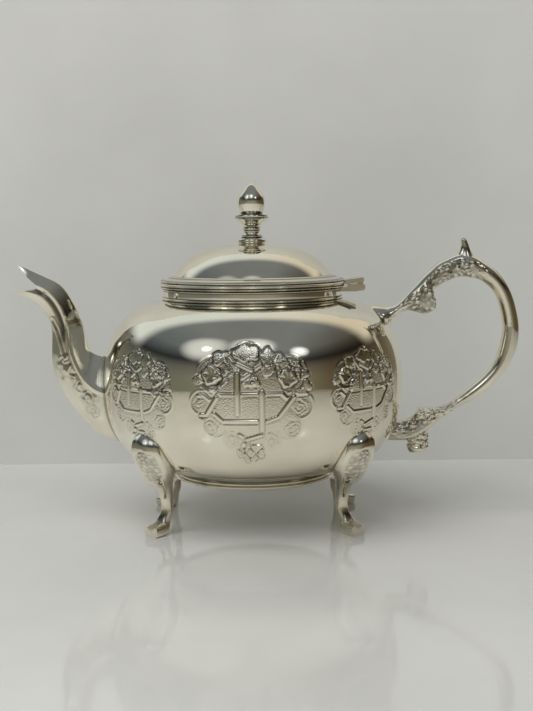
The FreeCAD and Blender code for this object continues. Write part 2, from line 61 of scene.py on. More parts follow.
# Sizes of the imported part
BOWL_RADIUS = highest("body_shell").y
BOWL_FLOOR_Z = lowest("body_shell").z
BOWL_TOP_Z = highest("body_shell").z
COLLAR_TOP_Z = highest("collar").z
LID_Z = lowest("lid_rim").z
LID_RADIUS = highest("lid_rim").y
DOME_RADIUS = highest("lid_dome").y
DOME_FOOT_Z = lowest("lid_dome").z
DOME_CROWN_Z = highest("lid_dome").z
BUD_Z = lowest("finial_bud").z
BUD_TIP_Z = highest("finial_bud").z
BASE_RING_Z = lowest("base_ring").z
BASE_RING_RADIUS = highest("base_ring").y
BASE_PLATE_RADIUS = highest("base_plate").y

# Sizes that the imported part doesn't name
BOWL_WIDE_Z = BOWL_FLOOR_Z + 45.6
UNDERSIDE_Z = BOWL_FLOOR_Z + 3.0  # the bowl's underside curves up to here, so that its ring shows
BOWL_WALL = 1.2
BOWL_FLOOR_RADIUS = 39.0
BOWL_HOLE_RADIUS = 35.0
COLLAR_RADIUS = 45.0
COLLAR_BORE = 43.5
SHEET = 1.2
STUD_HOLE = 1.6
SEAT = 0.4  # castings sink this far into the bowl's wall


# Curves

def cumulative(points, power=1.0):
    """Distance along a line of points, from 0. A power below 1 evens out long and short steps."""
    steps = np.linalg.norm(np.diff(points, axis=0), axis=1) ** power
    return np.concatenate([[0.0], np.cumsum(steps)])


def bezier(poles, count):
    a, b, c, d = np.array(poles, float)
    t = np.linspace(0, 1, count)[:, None]
    return (1 - t) ** 3 * a + 3 * t * (1 - t) ** 2 * b + 3 * t * t * (1 - t) * c + t ** 3 * d


def spline(knots, values, places):
    """A natural cubic spline through rows of values at the knots, read at the places."""
    values = np.array(values, float)
    gaps = np.diff(knots)
    slopes = np.diff(values, axis=0) / gaps[:, None]
    matrix = np.eye(len(knots))
    right = np.zeros_like(values)
    for k in range(1, len(gaps)):
        matrix[k, k - 1:k + 2] = gaps[k - 1], 2 * (gaps[k - 1] + gaps[k]), gaps[k]
        right[k] = 6 * (slopes[k] - slopes[k - 1])
    bends = np.linalg.solve(matrix, right)
    k = np.clip(np.searchsorted(knots, places) - 1, 0, len(gaps) - 1)
    gap = gaps[k][:, None]
    t = (places - knots[k])[:, None] / gap
    straight = (1 - t) * values[k] + t * values[k + 1]
    return straight + gap ** 2 / 6 * (((1 - t) ** 3 - 1 + t) * bends[k] + (t ** 3 - t) * bends[k + 1])


def smooth(points, count):
    """A smooth curve through the points."""
    knots = cumulative(np.array(points, float), 0.5)
    return spline(knots, points, np.linspace(0, knots[-1], count))


def full_turn(count):
    """Even angles once round."""
    return np.linspace(0, 2 * math.pi, count, endpoint=False)


def swell(start, end, height, count=9):
    """A shallow arc from start to end that stands out to its right by a height."""
    start, end = np.array(start, float), np.array(end, float)
    run = end - start
    out = np.array([run[1], -run[0]]) / np.linalg.norm(run)
    t = np.linspace(0, 1, count)[:, None]
    return start + run * t + out * height * 4 * t * (1 - t)


def bead(radius, low_z, high_z, height):
    """A round moulding on an upright side, between two heights."""
    return swell((radius, low_z), (radius, high_z), height)


def respaced(rows, places, count):
    """The same rows read at even places."""
    even = np.linspace(places[0], places[-1], count)
    return np.column_stack([np.interp(even, places, column) for column in rows.T])


def rise(x):
    """0 below 0, 1 above 1, and smooth between."""
    t = np.clip(x, 0, 1)
    return t * t * (3 - 2 * t)


def climb(value, limits):
    """0 below the lower limit, 1 above the upper one, and smooth between."""
    low, high = limits
    return rise((value - low) / (high - low))


def bump(distance, width):
    """1 at no distance, fading to 0 at about twice the width."""
    return np.exp(-(distance / width) ** 2)


def distance_to(path, a, b):
    """Distance of points (a, b) from a line of straight runs."""
    nearest = np.full(np.broadcast(a, b).shape, np.inf)
    for (a0, b0), (a1, b1) in zip(path, path[1:]):
        da, db = a1 - a0, b1 - b0
        t = np.clip(((a - a0) * da + (b - b0) * db) / (da * da + db * db), 0, 1)
        nearest = np.minimum(nearest, np.hypot(a - a0 - t * da, b - b0 - t * db))
    return nearest


# Meshes. A grid is an array of rings of points; each ring closes on itself.

def grid_faces(rows, columns, closed):
    r = np.arange(rows if closed else rows - 1)[:, None]
    c = np.arange(columns)[None, :]
    above, beside = (r + 1) % rows, (c + 1) % columns
    corners = [r * columns + c, r * columns + beside, above * columns + beside, above * columns + c]
    return np.stack(corners, axis=2).reshape(-1, 4).tolist()


def finish_mesh(mesh, sharp_angle):
    """Merge the points at the poles, turn all faces outwards and shade smooth."""
    edit = bmesh.new()
    edit.from_mesh(mesh)
    bmesh.ops.remove_doubles(edit, verts=edit.verts, dist=1e-7)
    bmesh.ops.recalc_face_normals(edit, faces=edit.faces)
    edit.to_mesh(mesh)
    edit.free()
    mesh.shade_smooth()
    mesh.set_sharp_from_angle(angle=math.radians(sharp_angle))


def grid_mesh(name, grid, closed=False, masks=None, sharp_angle=40):
    """A mesh over a grid, with masks from its first ring on. End rings join if closed, or get a fan each."""
    rows, columns, _ = grid.shape
    points = grid.reshape(-1, 3)
    faces = grid_faces(rows, columns, closed)
    if not closed:
        points = np.vstack([points, grid[0].mean(axis=0), grid[-1].mean(axis=0)])
        last = (rows - 1) * columns
        for c in range(columns):
            beside = (c + 1) % columns
            faces.append([beside, c, rows * columns])
            faces.append([last + c, last + beside, rows * columns + 1])
    mesh = bpy.data.meshes.new(name)
    mesh.from_pydata((points * MM).tolist(), [], faces)
    for mask, values in (masks or {}).items():
        flat = np.zeros(len(points), np.float32)
        flat[:values.size] = np.clip(values, 0, 1).reshape(-1)
        mesh.attributes.new(mask, "FLOAT", "POINT").data.foreach_set("value", flat)
    finish_mesh(mesh, sharp_angle)
    return mesh


def turned_grid(outline, columns):
    """An outline turned about the axis, from the front of the pot towards the handle."""
    angles = full_turn(columns)
    r, z = outline[:, :1], outline[:, 1:]
    return np.stack([r * np.sin(angles), -r * np.cos(angles), z + 0 * angles], axis=2)


GROOVE_DARK = 0.9  # strength of the painted shade in turned grooves
GROOVE_WIDTH = 0.25
TURNED_SHARP = 35  # edges of turned pieces are sharp from this angle on


def turned(name, *runs, columns=192, closed=True, grooves=()):
    """A lathe-turned mesh from the runs of its outline, with painted shade in the grooves at some heights."""
    grid = turned_grid(np.vstack(runs), columns)
    painted_shade = np.zeros(grid.shape[:2])
    for height in grooves:
        painted_shade = np.maximum(painted_shade, GROOVE_DARK * bump(grid[..., 2] - height, GROOVE_WIDTH))
    return grid_mesh(name, grid, closed, {"painted_shade": painted_shade}, TURNED_SHARP)


def outward(grid):
    """Unit normals of a grid, away from the middle of each ring."""
    along = np.gradient(grid, axis=0)
    across = np.roll(grid, -1, axis=1) - np.roll(grid, 1, axis=1)
    normal = np.cross(across, along)
    normal /= np.maximum(np.linalg.norm(normal, axis=2, keepdims=True), 1e-9)
    return normal * np.sign(np.sum(normal * (grid - grid.mean(axis=1, keepdims=True))))


def middle_line(stations):
    return (stations[:, 0:2] + stations[:, 2:4]) / 2


def station_rows(stations, spacing):
    """Stations (outer x, z, inner x, z, half width, ...) redrawn as even rows along their middle line."""
    table = np.array(stations, float)
    knots = cumulative(middle_line(table), 0.5)
    fine = spline(knots, table, np.linspace(0, knots[-1], 40 * len(table)))
    places = cumulative(middle_line(fine))
    return respaced(fine, places, int(places[-1] / spacing) + 2)


def ring_grid(rows, depth, breadth):
    """Rings about station rows. Depth is 0 at the outer point and 1 at the inner, breadth -1 to 1 across."""
    outer, inner = rows[:, None, 0:2], rows[:, None, 2:4]
    flat = outer + (inner - outer) * depth[..., None]
    across = breadth * rows[:, 4:5]
    return np.stack([flat[..., 0], across, flat[..., 1]], axis=2)


def oval(power, sides):
    """Depth and breadth of an oval section; a power below 1 makes it squarer, above 1 ridged."""
    angles = full_turn(sides)
    c, s = np.cos(angles), np.sin(angles)
    return 0.5 - 0.5 * np.sign(c) * np.abs(c) ** power, np.sign(s) * np.abs(s) ** power


def cast_grid(stations, spacing, section):
    """A grid that carries one section, its depth and breadth, along stations."""
    depth, breadth = section
    return ring_grid(station_rows(stations, spacing), depth[None, :], breadth[None, :])


def prism(name, outline, axis, ends):
    """A mesh between two copies of a flat outline, at two places along an axis."""
    return grid_mesh(name, np.stack([np.insert(outline, axis, end, axis=1) for end in ends]))


def placed(name, data):
    """A new object in the scene."""
    made = bpy.data.objects.new(name, data)
    bpy.context.scene.collection.objects.link(made)
    return made


def combine(mesh, operation, *tools):
    """Cut tool meshes from a mesh, or join them to it."""
    solid = placed("solid", mesh)
    helpers = [placed("tool", tool) for tool in tools]
    for helper in helpers:
        modifier = solid.modifiers.new("cut", "BOOLEAN")
        modifier.operation = operation
        modifier.solver = "EXACT"
        modifier.object = helper
    shaped = solid.evaluated_get(bpy.context.evaluated_depsgraph_get())
    result = bpy.data.meshes.new_from_object(shaped)
    for used in [solid] + helpers:
        bpy.data.objects.remove(used)
    return result


def piece(name, mesh, body, nodes, slot, sharp_angle=None):
    """A piece of the object: its mesh rides on a body and stands for nodes of the part."""
    if sharp_angle:
        finish_mesh(mesh, sharp_angle)
    mesh.name = name
    mesh.materials.clear()
    mesh.materials.append(METALS[slot])
    made = placed(name, mesh)
    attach(made, body)
    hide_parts(*nodes)


# Materials

def add(tree, kind, output, inputs=None, **settings):
    """An output of a new shader node with its settings and inputs; an input is a value or an output."""
    node = tree.nodes.new("ShaderNode" + kind)
    for key, value in settings.items():
        setattr(node, key, value)
    for socket, value in (inputs or {}).items():
        if isinstance(value, bpy.types.NodeSocket):
            tree.links.new(value, node.inputs[socket])
        else:
            node.inputs[socket].default_value = value
    return node.outputs[output]


def new_material(name):
    """A material, its tree of nodes, its main shader and the places on the object."""
    material = bpy.data.materials.new(name)
    material.use_nodes = True
    tree = material.node_tree
    return material, tree, tree.nodes["Principled BSDF"], add(tree, "TexCoord", "Object")


def cloudy(tree, place, scale, detail, low=0.0, high=1.0):
    """A soft noise, its middle range stretched to run from low to high."""
    clouds = add(tree, "TexNoise", "Fac", {"Vector": place, "Scale": scale, "Detail": detail})
    return add(tree, "MapRange", "Result", {"Value": clouds, "From Min": 0.3, "From Max": 0.7,
                                            "To Min": low, "To Max": high})


def blend(tree, share, first, second, kind="MIX"):
    """A mix of two colours."""
    return add(tree, "Mix", "Result", {"Factor": share, "A": first, "B": second}, data_type="RGBA",
               blend_type=kind)


CLOUD_SCALE = 45.0  # scales of the metal's textures, per metre
SMUDGE_SCALE = 120.0
PIT_SCALE = 1700.0
HAIRLINE_DEPTH = 0.0002  # metres
PIT_DEPTH = 0.0003
HOLLOW_ROUGHNESS = 0.22  # hollows are rougher by this much


def metal(name, pale, dull, hollow, gloss, grain, stretch, grain_depth):
    """Polished metal: clouded tint, painted shade in the hollows, uneven gloss and hairline polishing marks.
    """
    material, tree, shader, place = new_material(name)
    shader.inputs["Metallic"].default_value = 1.0
    # mask of the painted shade in the hollows, which also makes them rougher
    painted_shade = add(tree, "Attribute", "Fac", attribute_name="painted_shade")
    stipple = add(tree, "Attribute", "Fac", attribute_name="stipple")
    tint = blend(tree, cloudy(tree, place, CLOUD_SCALE, 3.0), pale, dull)
    # painted shade: the colour darkens towards the hollow colour where the mask is high
    tree.links.new(blend(tree, painted_shade, tint, hollow), shader.inputs["Base Color"])

    smudges = cloudy(tree, place, SMUDGE_SCALE, 5.0, *gloss)
    rough = add(tree, "Math", "Value", {0: painted_shade, 1: HOLLOW_ROUGHNESS, 2: smudges}, operation="MULTIPLY_ADD")
    tree.links.new(rough, shader.inputs["Roughness"])

    drawn = add(tree, "Mapping", "Vector", {"Vector": place, "Scale": stretch})
    marks = add(tree, "TexNoise", "Fac", {"Vector": drawn, "Scale": grain, "Detail": 2.0})
    pits = add(tree, "TexVoronoi", "Distance", {"Vector": place, "Scale": PIT_SCALE})
    hairlines = add(tree, "Bump", "Normal",
                    {"Height": marks, "Strength": grain_depth, "Distance": HAIRLINE_DEPTH})
    stippled = add(tree, "Bump", "Normal",
                   {"Height": pits, "Strength": stipple, "Distance": PIT_DEPTH, "Normal": hairlines})
    tree.links.new(stippled, shader.inputs["Normal"])
    return material


BRIGHT = (0.95, 0.91, 0.78, 1)
WARM = (0.86, 0.81, 0.67, 1)
HOLLOW_SHADE = (0.07, 0.066, 0.06, 1)  # painted shade in the hollows
YELLOW = (0.80, 0.60, 0.26, 1)
EVEN = (1, 1, 1)
FINISHES = {  # slot: pale and dull colours, colour of the painted shade in hollows, roughness range, the grain's scale, stretch and depth
    "polished_silver": (BRIGHT, WARM, HOLLOW_SHADE, (0.03, 0.07), 900.0, (0.25, 0.25, 3), 0.03),
    "turned_silver": (BRIGHT, WARM, HOLLOW_SHADE, (0.04, 0.08), 1500.0, (0.15, 0.15, 6), 0.03),
    "cast_silver": (BRIGHT, WARM, HOLLOW_SHADE, (0.04, 0.09), 700.0, EVEN, 0.12),
    "underside_silver": (WARM, (0.58, 0.54, 0.45, 1), HOLLOW_SHADE, (0.18, 0.32), 500.0, EVEN, 0.15),
    "hinge_metal": (WARM, (0.62, 0.58, 0.48, 1), HOLLOW_SHADE, (0.10, 0.20), 1200.0, (1, 0.1, 1), 0.06),
    "fastener_brass": (YELLOW, (0.68, 0.48, 0.20, 1), (0.2, 0.13, 0.05, 1), (0.16, 0.30), 1500.0, EVEN, 0.08),
}
METALS = {slot: metal(slot, *finish) for slot, finish in FINISHES.items()}

PLAIN_NODES = {  # nodes that are shown as they are
    "hinge_metal": ["hinge_collar_leaf", "hinge_lid_leaf", "hinge_pin"],
    "underside_silver": ["lid_bezel"],
    "fastener_brass": ["finial_stud", "finial_washer", "finial_nut"],
}
for slot, nodes in PLAIN_NODES.items():
    for node in nodes:
        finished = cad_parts[node].data
        finished.materials.clear()
        finished.materials.append(METALS[slot])


# Bowl. Its side is two curves that meet at the widest place. These say where they head from their ends.
BELLY_RADIUS = 72.5
BELLY_DROP = 14.0
SHOULDER_RISE = 32.0
NECK_RADIUS = 58.7
NECK_DROP = 2.9


def bowl_line(inset, count):
    """The bowl's side from its floor up to its neck, an inset inside its outside."""
    wide = (BOWL_RADIUS - inset, BOWL_WIDE_Z)
    floor_z = UNDERSIDE_Z + inset
    lower = bezier([(BOWL_FLOOR_RADIUS, floor_z), (BELLY_RADIUS - inset, floor_z),
                    (wide[0], BOWL_WIDE_Z - BELLY_DROP), wide], count)
    upper = bezier([wide, (wide[0], BOWL_WIDE_Z + SHOULDER_RISE - inset),
                    (NECK_RADIUS, BOWL_TOP_Z - NECK_DROP - inset),
                    (COLLAR_RADIUS, BOWL_TOP_Z - inset)], count)
    return np.vstack([lower, upper[1:]])


def off_bowl(grid):
    """How far points stand out from the bowl's side."""
    line = bowl_line(0, 60)
    return np.hypot(grid[..., 0], grid[..., 1]) - np.interp(grid[..., 2], line[:, 1], line[:, 0])


# Chasing. A place on a medallion is (a, z): arc distance from its middle, height above the table.
MEDALLIONS = [(0, 1.0), (46.5, 0.82), (-46.5, 0.82), (180, 1.0), (133.5, 0.82), (-133.5, 0.82)]  # turn, scale
MEDALLION_Z = 72.0  # they shrink towards this height
MEDALLION_LOW = 42.0
MEDALLION_HIGH = 99.5
CHASING_STEP = 0.45  # spacing of the mesh there, and elsewhere on the bowl
PLAIN_STEP = 1.6
FIELD = (0, 70, 18, 19)  # a, z, half width, half height
LOBES = [  # a, z, radius
    (-18, 84, 8), (-2, 89.5, 8.5), (17.5, 83.5, 8.5), (-23, 71, 6), (22, 69.5, 6.5), (-17, 61, 6.5),
    (16.5, 60, 7), (-9, 53.5, 6), (9, 53, 6), (0, 48.5, 5.5),
]
SCROLLS = [  # a, z, radius, hand
    (-19, 59.5, 5, 1), (19, 58.5, 5, -1), (-9, 54, 4.5, -1), (9.5, 54, 4.5, 1), (-24.4, 71.6, 3.4, 1),
    (21.8, 69, 5, -1),
]
LEAVES = [  # a, z, half width, half height
    (-24.4, 81.2, 2.6, 2.6), (-13.9, 90.2, 4.4, 3.6), (-2.5, 93.2, 6.4, 3.6), (7.8, 91.2, 3.6, 4.1),
    (13.6, 89.8, 3.1, 2.8), (19.6, 87.1, 3.6, 3), (23.8, 83.2, 2.6, 2.6), (25.2, 78, 2.3, 2.8),
    (7.3, 84.8, 2.8, 2.4), (-0.2, 80.4, 3.6, 2.7),
]
PETALS = [  # a, z, radius; a later one lies over an earlier
    (-13.3, 85.6, 2.6), (-14, 80.6, 2.7), (-18.6, 83.4, 4.3), (19.9, 83.4, 2.7), (14.6, 86.2, 3.2),
    (16.4, 81.6, 4.1), (-5, 47.4, 2.3), (-2.6, 45.2, 2.1), (0.9, 45, 2.1), (3.6, 47.4, 2.3), (2, 50, 2.2),
    (-2.8, 50.2, 2.2), (-0.8, 47.6, 1.7),
]
DOTS = [(-0.8, 89.2, 0.8), (-0.2, 80.7, 0.9), (-9.4, 84.6, 0.8)]  # a, z, radius
STRAPS = [  # middle lines of the bands
    [(-24.7, 74), (-22.3, 74.5), (-18.6, 71.5), (-15.3, 74.7), (13.5, 74.9), (16.5, 72), (19.5, 74.6),
     (25, 74.6)],
    [(-17.5, 66), (-13.3, 62.4), (6.5, 62.4), (12.1, 64.4), (19, 73.3)],
    [(-16.2, 73.3), (-21.1, 65.4), (-23.5, 65.4)],
    [(-10.5, 91), (-4.2, 82.3), (3.8, 88)],
    [(-6.6, 88.8), (-0.3, 85.8)],
    [(-6.7, 84), (-6.7, 66)],
    [(4.5, 76), (4.5, 57)],
    [(-6, 56.2), (-2.6, 54), (-4.5, 51)],
    [(4.2, 56), (-2.6, 54)],
]
STRAP_WIDTH = 1.7
STRAP_RISE = 0.3
PETAL_RISE = 0.75
PETAL_CUT = 0.25
PETAL_RIBS = 7
LEAF_RISE = 0.45
LEAF_EDGE_RISE = 0.3
BEAD_PITCH = 1.4
CUT_DEPTH = 0.2  # lines round the leaves and along the straps
SCROLL_PITCH = 1.9
SCROLL_RISE = 0.16
DOT_DEPTH = 0.5
RIM_RISE = 0.2  # the medallion's raised edge
GROUND_DEPTH = 0.15
WARP = 0.5
PETALS_FAINT = 0.75  # strength of the petals at the bottom
PETALS_Z = (52, 68)  # they grow to their full strength between these heights
EDGE_Z = (50, 66)  # the medallion's edge comes up between these
DARK_Z = (71, 79)  # the painted shade in the chased lines grows stronger upwards between these heights, by the strengths below
CHASING_DARK = (0.55, 0.95)


def around(a, z, middle_a, middle_z):
    """Distance of places from a middle, and their turn about it."""
    return np.hypot(a - middle_a, z - middle_z), np.arctan2(z - middle_z, a - middle_a)


def hand_drawn(a, z):
    """Places shifted a little to and fro, so that round forms look drawn by hand."""
    return a + WARP * np.sin(1.15 * z + 0.6 * a), z + WARP * np.sin(1.05 * a - 0.5 * z)


def laid_over(layers, covers, *over):
    """Layers of chasing (height, painted shade, stipple) with others laid over them where those cover."""
    return [np.where(covers, top, under) for top, under in zip(over, layers)]


def leafed(a, z, layers):
    """Pillowed leaves with a beaded edge, and painted shade in the cut round each."""
    for middle_a, middle_z, half_a, half_z in LEAVES:
        share, turn = around(a / half_a, z / half_z, middle_a / half_a, middle_z / half_z)
        beads = 0.5 + 0.5 * np.cos(turn * (half_a + half_z) / 2 * 2 * math.pi / BEAD_PITCH)
        pillow = np.sqrt(np.clip(1 - share ** 2, 0, 1))
        edge = bump(share - 0.86, 0.12) * beads
        cut = bump(share - 1.08, 0.09)
        height = LEAF_RISE * pillow + LEAF_EDGE_RISE * edge - CUT_DEPTH * cut
        layers = laid_over(layers, share < 1.2, height, cut, 0.25 * rise((0.75 - share) / 0.2))
    return layers


def curls(a, z, places, pitch):
    """Spiral ridges at places (a, z, radius, hand), one after another."""
    for middle_a, middle_z, radius, hand in places:
        reach, turn = around(a, z, middle_a, middle_z)
        yield np.cos(2 * math.pi * reach / pitch - hand * turn) * rise((radius - reach) / 1.2)


def scrolled(a, z, ground, layers):
    """Faint curls on the ground, with painted shade in their troughs."""
    height, painted_shade, stipple = layers
    for curl in curls(a, z, SCROLLS, SCROLL_PITCH):
        height = height + SCROLL_RISE * curl * ground
        painted_shade = np.maximum(painted_shade, -0.4 * curl * ground)
    return height, painted_shade, stipple


def flowered(a, z, layers):
    """Cupped petals that overlap and grow fainter towards the bottom, and small hollows, with painted shade
    in the cuts round the petals, in their hearts and in the hollows.
    """
    strength = PETALS_FAINT + (1 - PETALS_FAINT) * climb(z, PETALS_Z)
    for middle_a, middle_z, radius in PETALS:
        reach, turn = around(a, z, middle_a, middle_z)
        share = reach / radius
        ribs = np.cos(PETAL_RIBS * turn) * bump(share - 0.55, 0.3)
        cup = (0.3 + 0.7 * share ** 2) * rise((1.02 - share) / 0.2) + 0.15 * ribs
        cut = bump(share - 1.12, 0.1)
        height = strength * (PETAL_RISE * cup - PETAL_CUT * cut)
        painted_shade = np.maximum(cut, 0.5 * bump(share, 0.4) - 0.5 * ribs)
        layers = laid_over(layers, share < 1.22, height, painted_shade, 0)
    height, painted_shade, stipple = layers
    for middle_a, middle_z, radius in DOTS:
        reach = np.hypot(a - middle_a, z - middle_z)
        height = height - DOT_DEPTH * bump(reach, radius) + 0.2 * bump(reach - 1.8 * radius, 0.5 * radius)
        painted_shade = np.maximum(painted_shade, 1.2 * bump(reach, radius))
    return height, painted_shade, stipple


def strapped(a, z, layers):
    """Flat interlaced bands with a cut line along each side, with painted shade in the cut lines."""
    for strap in STRAPS:
        across = distance_to(strap, a, z) - STRAP_WIDTH / 2
        band = rise((0.2 - across) / 0.5)
        cut = bump(across - 0.4, 0.3)
        height = STRAP_RISE * band - CUT_DEPTH * cut - GROUND_DEPTH * (1 - band) * 0.5
        layers = laid_over(layers, across < 0.9, height, 0.9 * cut, 0)
    return layers


def medallion(a, z):
    """Height of the chasing, how much painted shade it gets, and how much of it is stippled ground."""
    middle_a, middle_z, half_width, half_height = FIELD
    within = half_width * (1 - np.hypot((a - middle_a) / half_width, (z - middle_z) / half_height))
    for lobe_a, lobe_z, radius in LOBES:
        within = np.maximum(within, radius - np.hypot(a - lobe_a, z - lobe_z))
    ground = rise((within - 0.5) / 0.6)
    edge = climb(z, EDGE_Z)
    # painted shade in a line inside the raised edge, and faintly over the ground
    layers = (RIM_RISE * bump(within - 0.4, 0.4) * edge - GROUND_DEPTH * ground,
              0.6 * bump(within - 1.2, 0.4) * edge + 0.1 * ground, 0.4 * ground)
    drawn_a, drawn_z = hand_drawn(a, z)
    layers = leafed(drawn_a, drawn_z, layers)
    layers = scrolled(drawn_a, drawn_z, ground, layers)
    layers = flowered(drawn_a, drawn_z, layers)
    height, painted_shade, stipple = strapped(a, z, layers)
    dark_low, dark_high = CHASING_DARK
    return height, (dark_low + (dark_high - dark_low) * climb(z, DARK_Z)) * painted_shade, stipple


STRAINER_HOLES = 7  # one in the middle and six round it
STRAINER_Z = 64.0
STRAINER_PITCH = 7.0
STRAINER_RADIUS = 2.2
STRAINER_X = (-80.0, -66.0)


def strainer_drills():
    """Drills through the wall behind the spout."""
    ring = full_turn(24)
    drills = []
    for k in range(STRAINER_HOLES):
        turn = math.radians(60 * k)
        reach = STRAINER_PITCH if k < STRAINER_HOLES - 1 else 0
        y = reach * math.cos(turn) + STRAINER_RADIUS * np.cos(ring)
        z = STRAINER_Z + reach * math.sin(turn) + STRAINER_RADIUS * np.sin(ring)
        drills.append(prism("drill", np.column_stack([y, z]), 0, STRAINER_X))
    return drills


def make_bowl():
    line = bowl_line(0, 400)
    step = np.where((line[:, 1] > MEDALLION_LOW) & (line[:, 1] < MEDALLION_HIGH), CHASING_STEP, PLAIN_STEP)
    steps = np.diff(cumulative(line)) / step[1:]
    places = np.concatenate([[0.0], np.cumsum(steps)])
    outside = respaced(line, places, int(places[-1]) + 1)
    inside = bowl_line(BOWL_WALL, 14)[::-1]
    mouth = [(COLLAR_BORE, BOWL_TOP_Z), (COLLAR_BORE, BOWL_TOP_Z - BOWL_WALL)]
    floor = [(BOWL_HOLE_RADIUS, UNDERSIDE_Z + BOWL_WALL), (BOWL_HOLE_RADIUS, UNDERSIDE_Z)]
    columns = int(2 * math.pi * BOWL_RADIUS / CHASING_STEP)
    grid = turned_grid(np.vstack([outside, mouth, inside, floor]), columns)

    middles, scales = np.array(MEDALLIONS, float).T
    offsets = full_turn(columns)[:, None] - np.radians(middles)
    offsets = (offsets + math.pi) % (2 * math.pi) - math.pi
    nearest = np.argmin(np.abs(offsets), axis=1)
    scale = scales[nearest][None, :]
    arc = offsets[np.arange(columns), nearest][None, :] * BOWL_RADIUS
    height, painted_shade, stipple = medallion(arc / scale, MEDALLION_Z + (outside[:, 1:] - MEDALLION_Z) / scale)
    count = len(outside)
    grid[:count] += outward(grid[:count]) * height[..., None]
    mesh = grid_mesh("bowl", grid, True, {"painted_shade": painted_shade, "stipple": stipple})
    return combine(mesh, "DIFFERENCE", *strainer_drills())


def bowl_tool():
    """The filled bowl that the castings are seated on."""
    line = bowl_line(SEAT, 60)
    return turned("bowl_tool", [(0, line[0, 1])], line, [(0, line[-1, 1])], columns=256, closed=False)


piece("chased_bowl", make_bowl(), "pot", ["body_shell"], "polished_silver", 40)


# Turned pieces. Most outlines run from the inside of the foot up the outside to the inside of the top.
COLLAR_BEAD = 1.4  # height of the bead round the collar's foot
RIM_BEADS = (0.95, 2.9)  # where the beads round the lid's edge end, above its seat
RING_BEADS = (1.5, 2.7)  # the same for the base ring
RING_DARK = 0.75  # strength of the painted shade in the base ring's grooves, on its cove and along its bottom
DOME_HEADING = (4.75, 8.2)  # how far inwards and upwards the dome's side heads from its foot
DOME_FLAT = 26.0  # it comes level towards its crown from this radius
PLATE_CROWN = 1.5


def make_collar():
    foot = BOWL_TOP_Z - SEAT
    bead_top = BOWL_TOP_Z + COLLAR_BEAD
    # painted shade in the grooves: where the collar meets the bowl, over its bead and under the lid's edge
    return turned(
        "collar", [(COLLAR_BORE, foot), (COLLAR_RADIUS, foot)],
        bead(COLLAR_RADIUS, BOWL_TOP_Z, bead_top, 0.7),
        bead(COLLAR_RADIUS, bead_top + 0.2, COLLAR_TOP_Z - 1.0, 0.06),
        swell((COLLAR_RADIUS, COLLAR_TOP_Z - 0.9), (COLLAR_RADIUS - 0.3, COLLAR_TOP_Z), 0.25),
        [(COLLAR_BORE, COLLAR_TOP_Z)],
        grooves=(BOWL_TOP_Z, bead_top + 0.1, COLLAR_TOP_Z - 0.95, COLLAR_TOP_Z))


def make_lid_rim():
    """A flat seat, a moulded edge of three beads, and a flange that slopes up to the dome."""
    seat = COLLAR_BORE - 1.4
    edge = LID_RADIUS - 1.0
    lip = DOME_FOOT_Z - 2.0
    groove = DOME_FOOT_Z - 0.7
    first, second = (LID_Z + top for top in RIM_BEADS)
    inner = DOME_RADIUS - SHEET
    # painted shade in the grooves: at the seat, between the beads, at the lip and at the dome's foot
    return turned(
        "rim", [(seat, LID_Z), (edge, LID_Z)],
        bead(edge, LID_Z, first, 0.55),
        bead(edge, first + 0.05, second, 1.0),
        swell((edge, second + 0.05), (edge - 0.2, lip), 0.5),
        swell((edge - 0.6, lip + 0.1), (DOME_RADIUS + 0.9, DOME_FOOT_Z - 0.1), -0.15),
        [(DOME_RADIUS + 0.4, groove), (DOME_RADIUS, groove), (DOME_RADIUS, DOME_FOOT_Z)],
        [(inner, DOME_FOOT_Z), (inner, DOME_FOOT_Z - SHEET), (seat, lip - SHEET)],
        grooves=(LID_Z, first + 0.02, second + 0.02, lip + 0.05, groove))


def dome_line(sheet):
    """The dome's side up to the hole for the stud, a sheet inside its outside."""
    foot = (DOME_RADIUS - sheet, DOME_FOOT_Z)
    top_z = DOME_CROWN_Z - sheet
    inwards, upwards = DOME_HEADING
    heading = (foot[0] - inwards, DOME_FOOT_Z + upwards)
    line = bezier([foot, heading, (DOME_FLAT, top_z), (0, top_z)], 60)
    return line[line[:, 0] > STUD_HOLE]


def make_dome():
    outside, inside = dome_line(0), dome_line(SHEET)[::-1]
    return turned("dome", outside, [(STUD_HOLE, outside[-1, 1]), (STUD_HOLE, inside[0, 1])], inside)


def make_pedestal():
    """A spool under the bud: foot, ring, waist and disc. Heights are above the dome's crown."""
    top = BUD_Z - DOME_CROWN_Z
    waist = [(4.8, 4.1), (4.1, 5.0), (3.9, 5.7), (4.0, 6.3)]
    flare = [(4.2, 7.9), (4.5, 8.8), (5.0, 9.85), (5.9, 10.6), (7.4, 11.7), (8.3, 12.7)]
    runs = [[(STUD_HOLE, -0.1), (6.2, -0.35)], bead(6.6, -0.2, 2.5, 0.75), [(5.2, 2.8)],
            bead(5.1, 3.0, 3.9, 0.55), smooth(waist, 9), bead(4.1, 6.4, 7.8, 0.4), smooth(flare, 16),
            swell((8.45, 12.9), (8.4, top - 0.25), 0.2), [(5.6, top), (STUD_HOLE, top)]]
    # painted shade in the grooves between the spool's mouldings
    grooves = [DOME_CROWN_Z + z for z in (2.8, 4.0, 6.35, 7.85, 12.8, top)]
    return turned("pedestal", np.vstack(runs) + (0, DOME_CROWN_Z), columns=96, grooves=grooves)


BUD_SIDE = [  # radius, height above the bud's foot
    (5.3, 0), (5.7, 0.8), (6.1, 1.8), (6.65, 3.6), (7, 6), (6.4, 8.8), (5.2, 10.9), (3.65, 12.8),
]
BUD_DRILL = 9.1  # depth of the hole for its stud


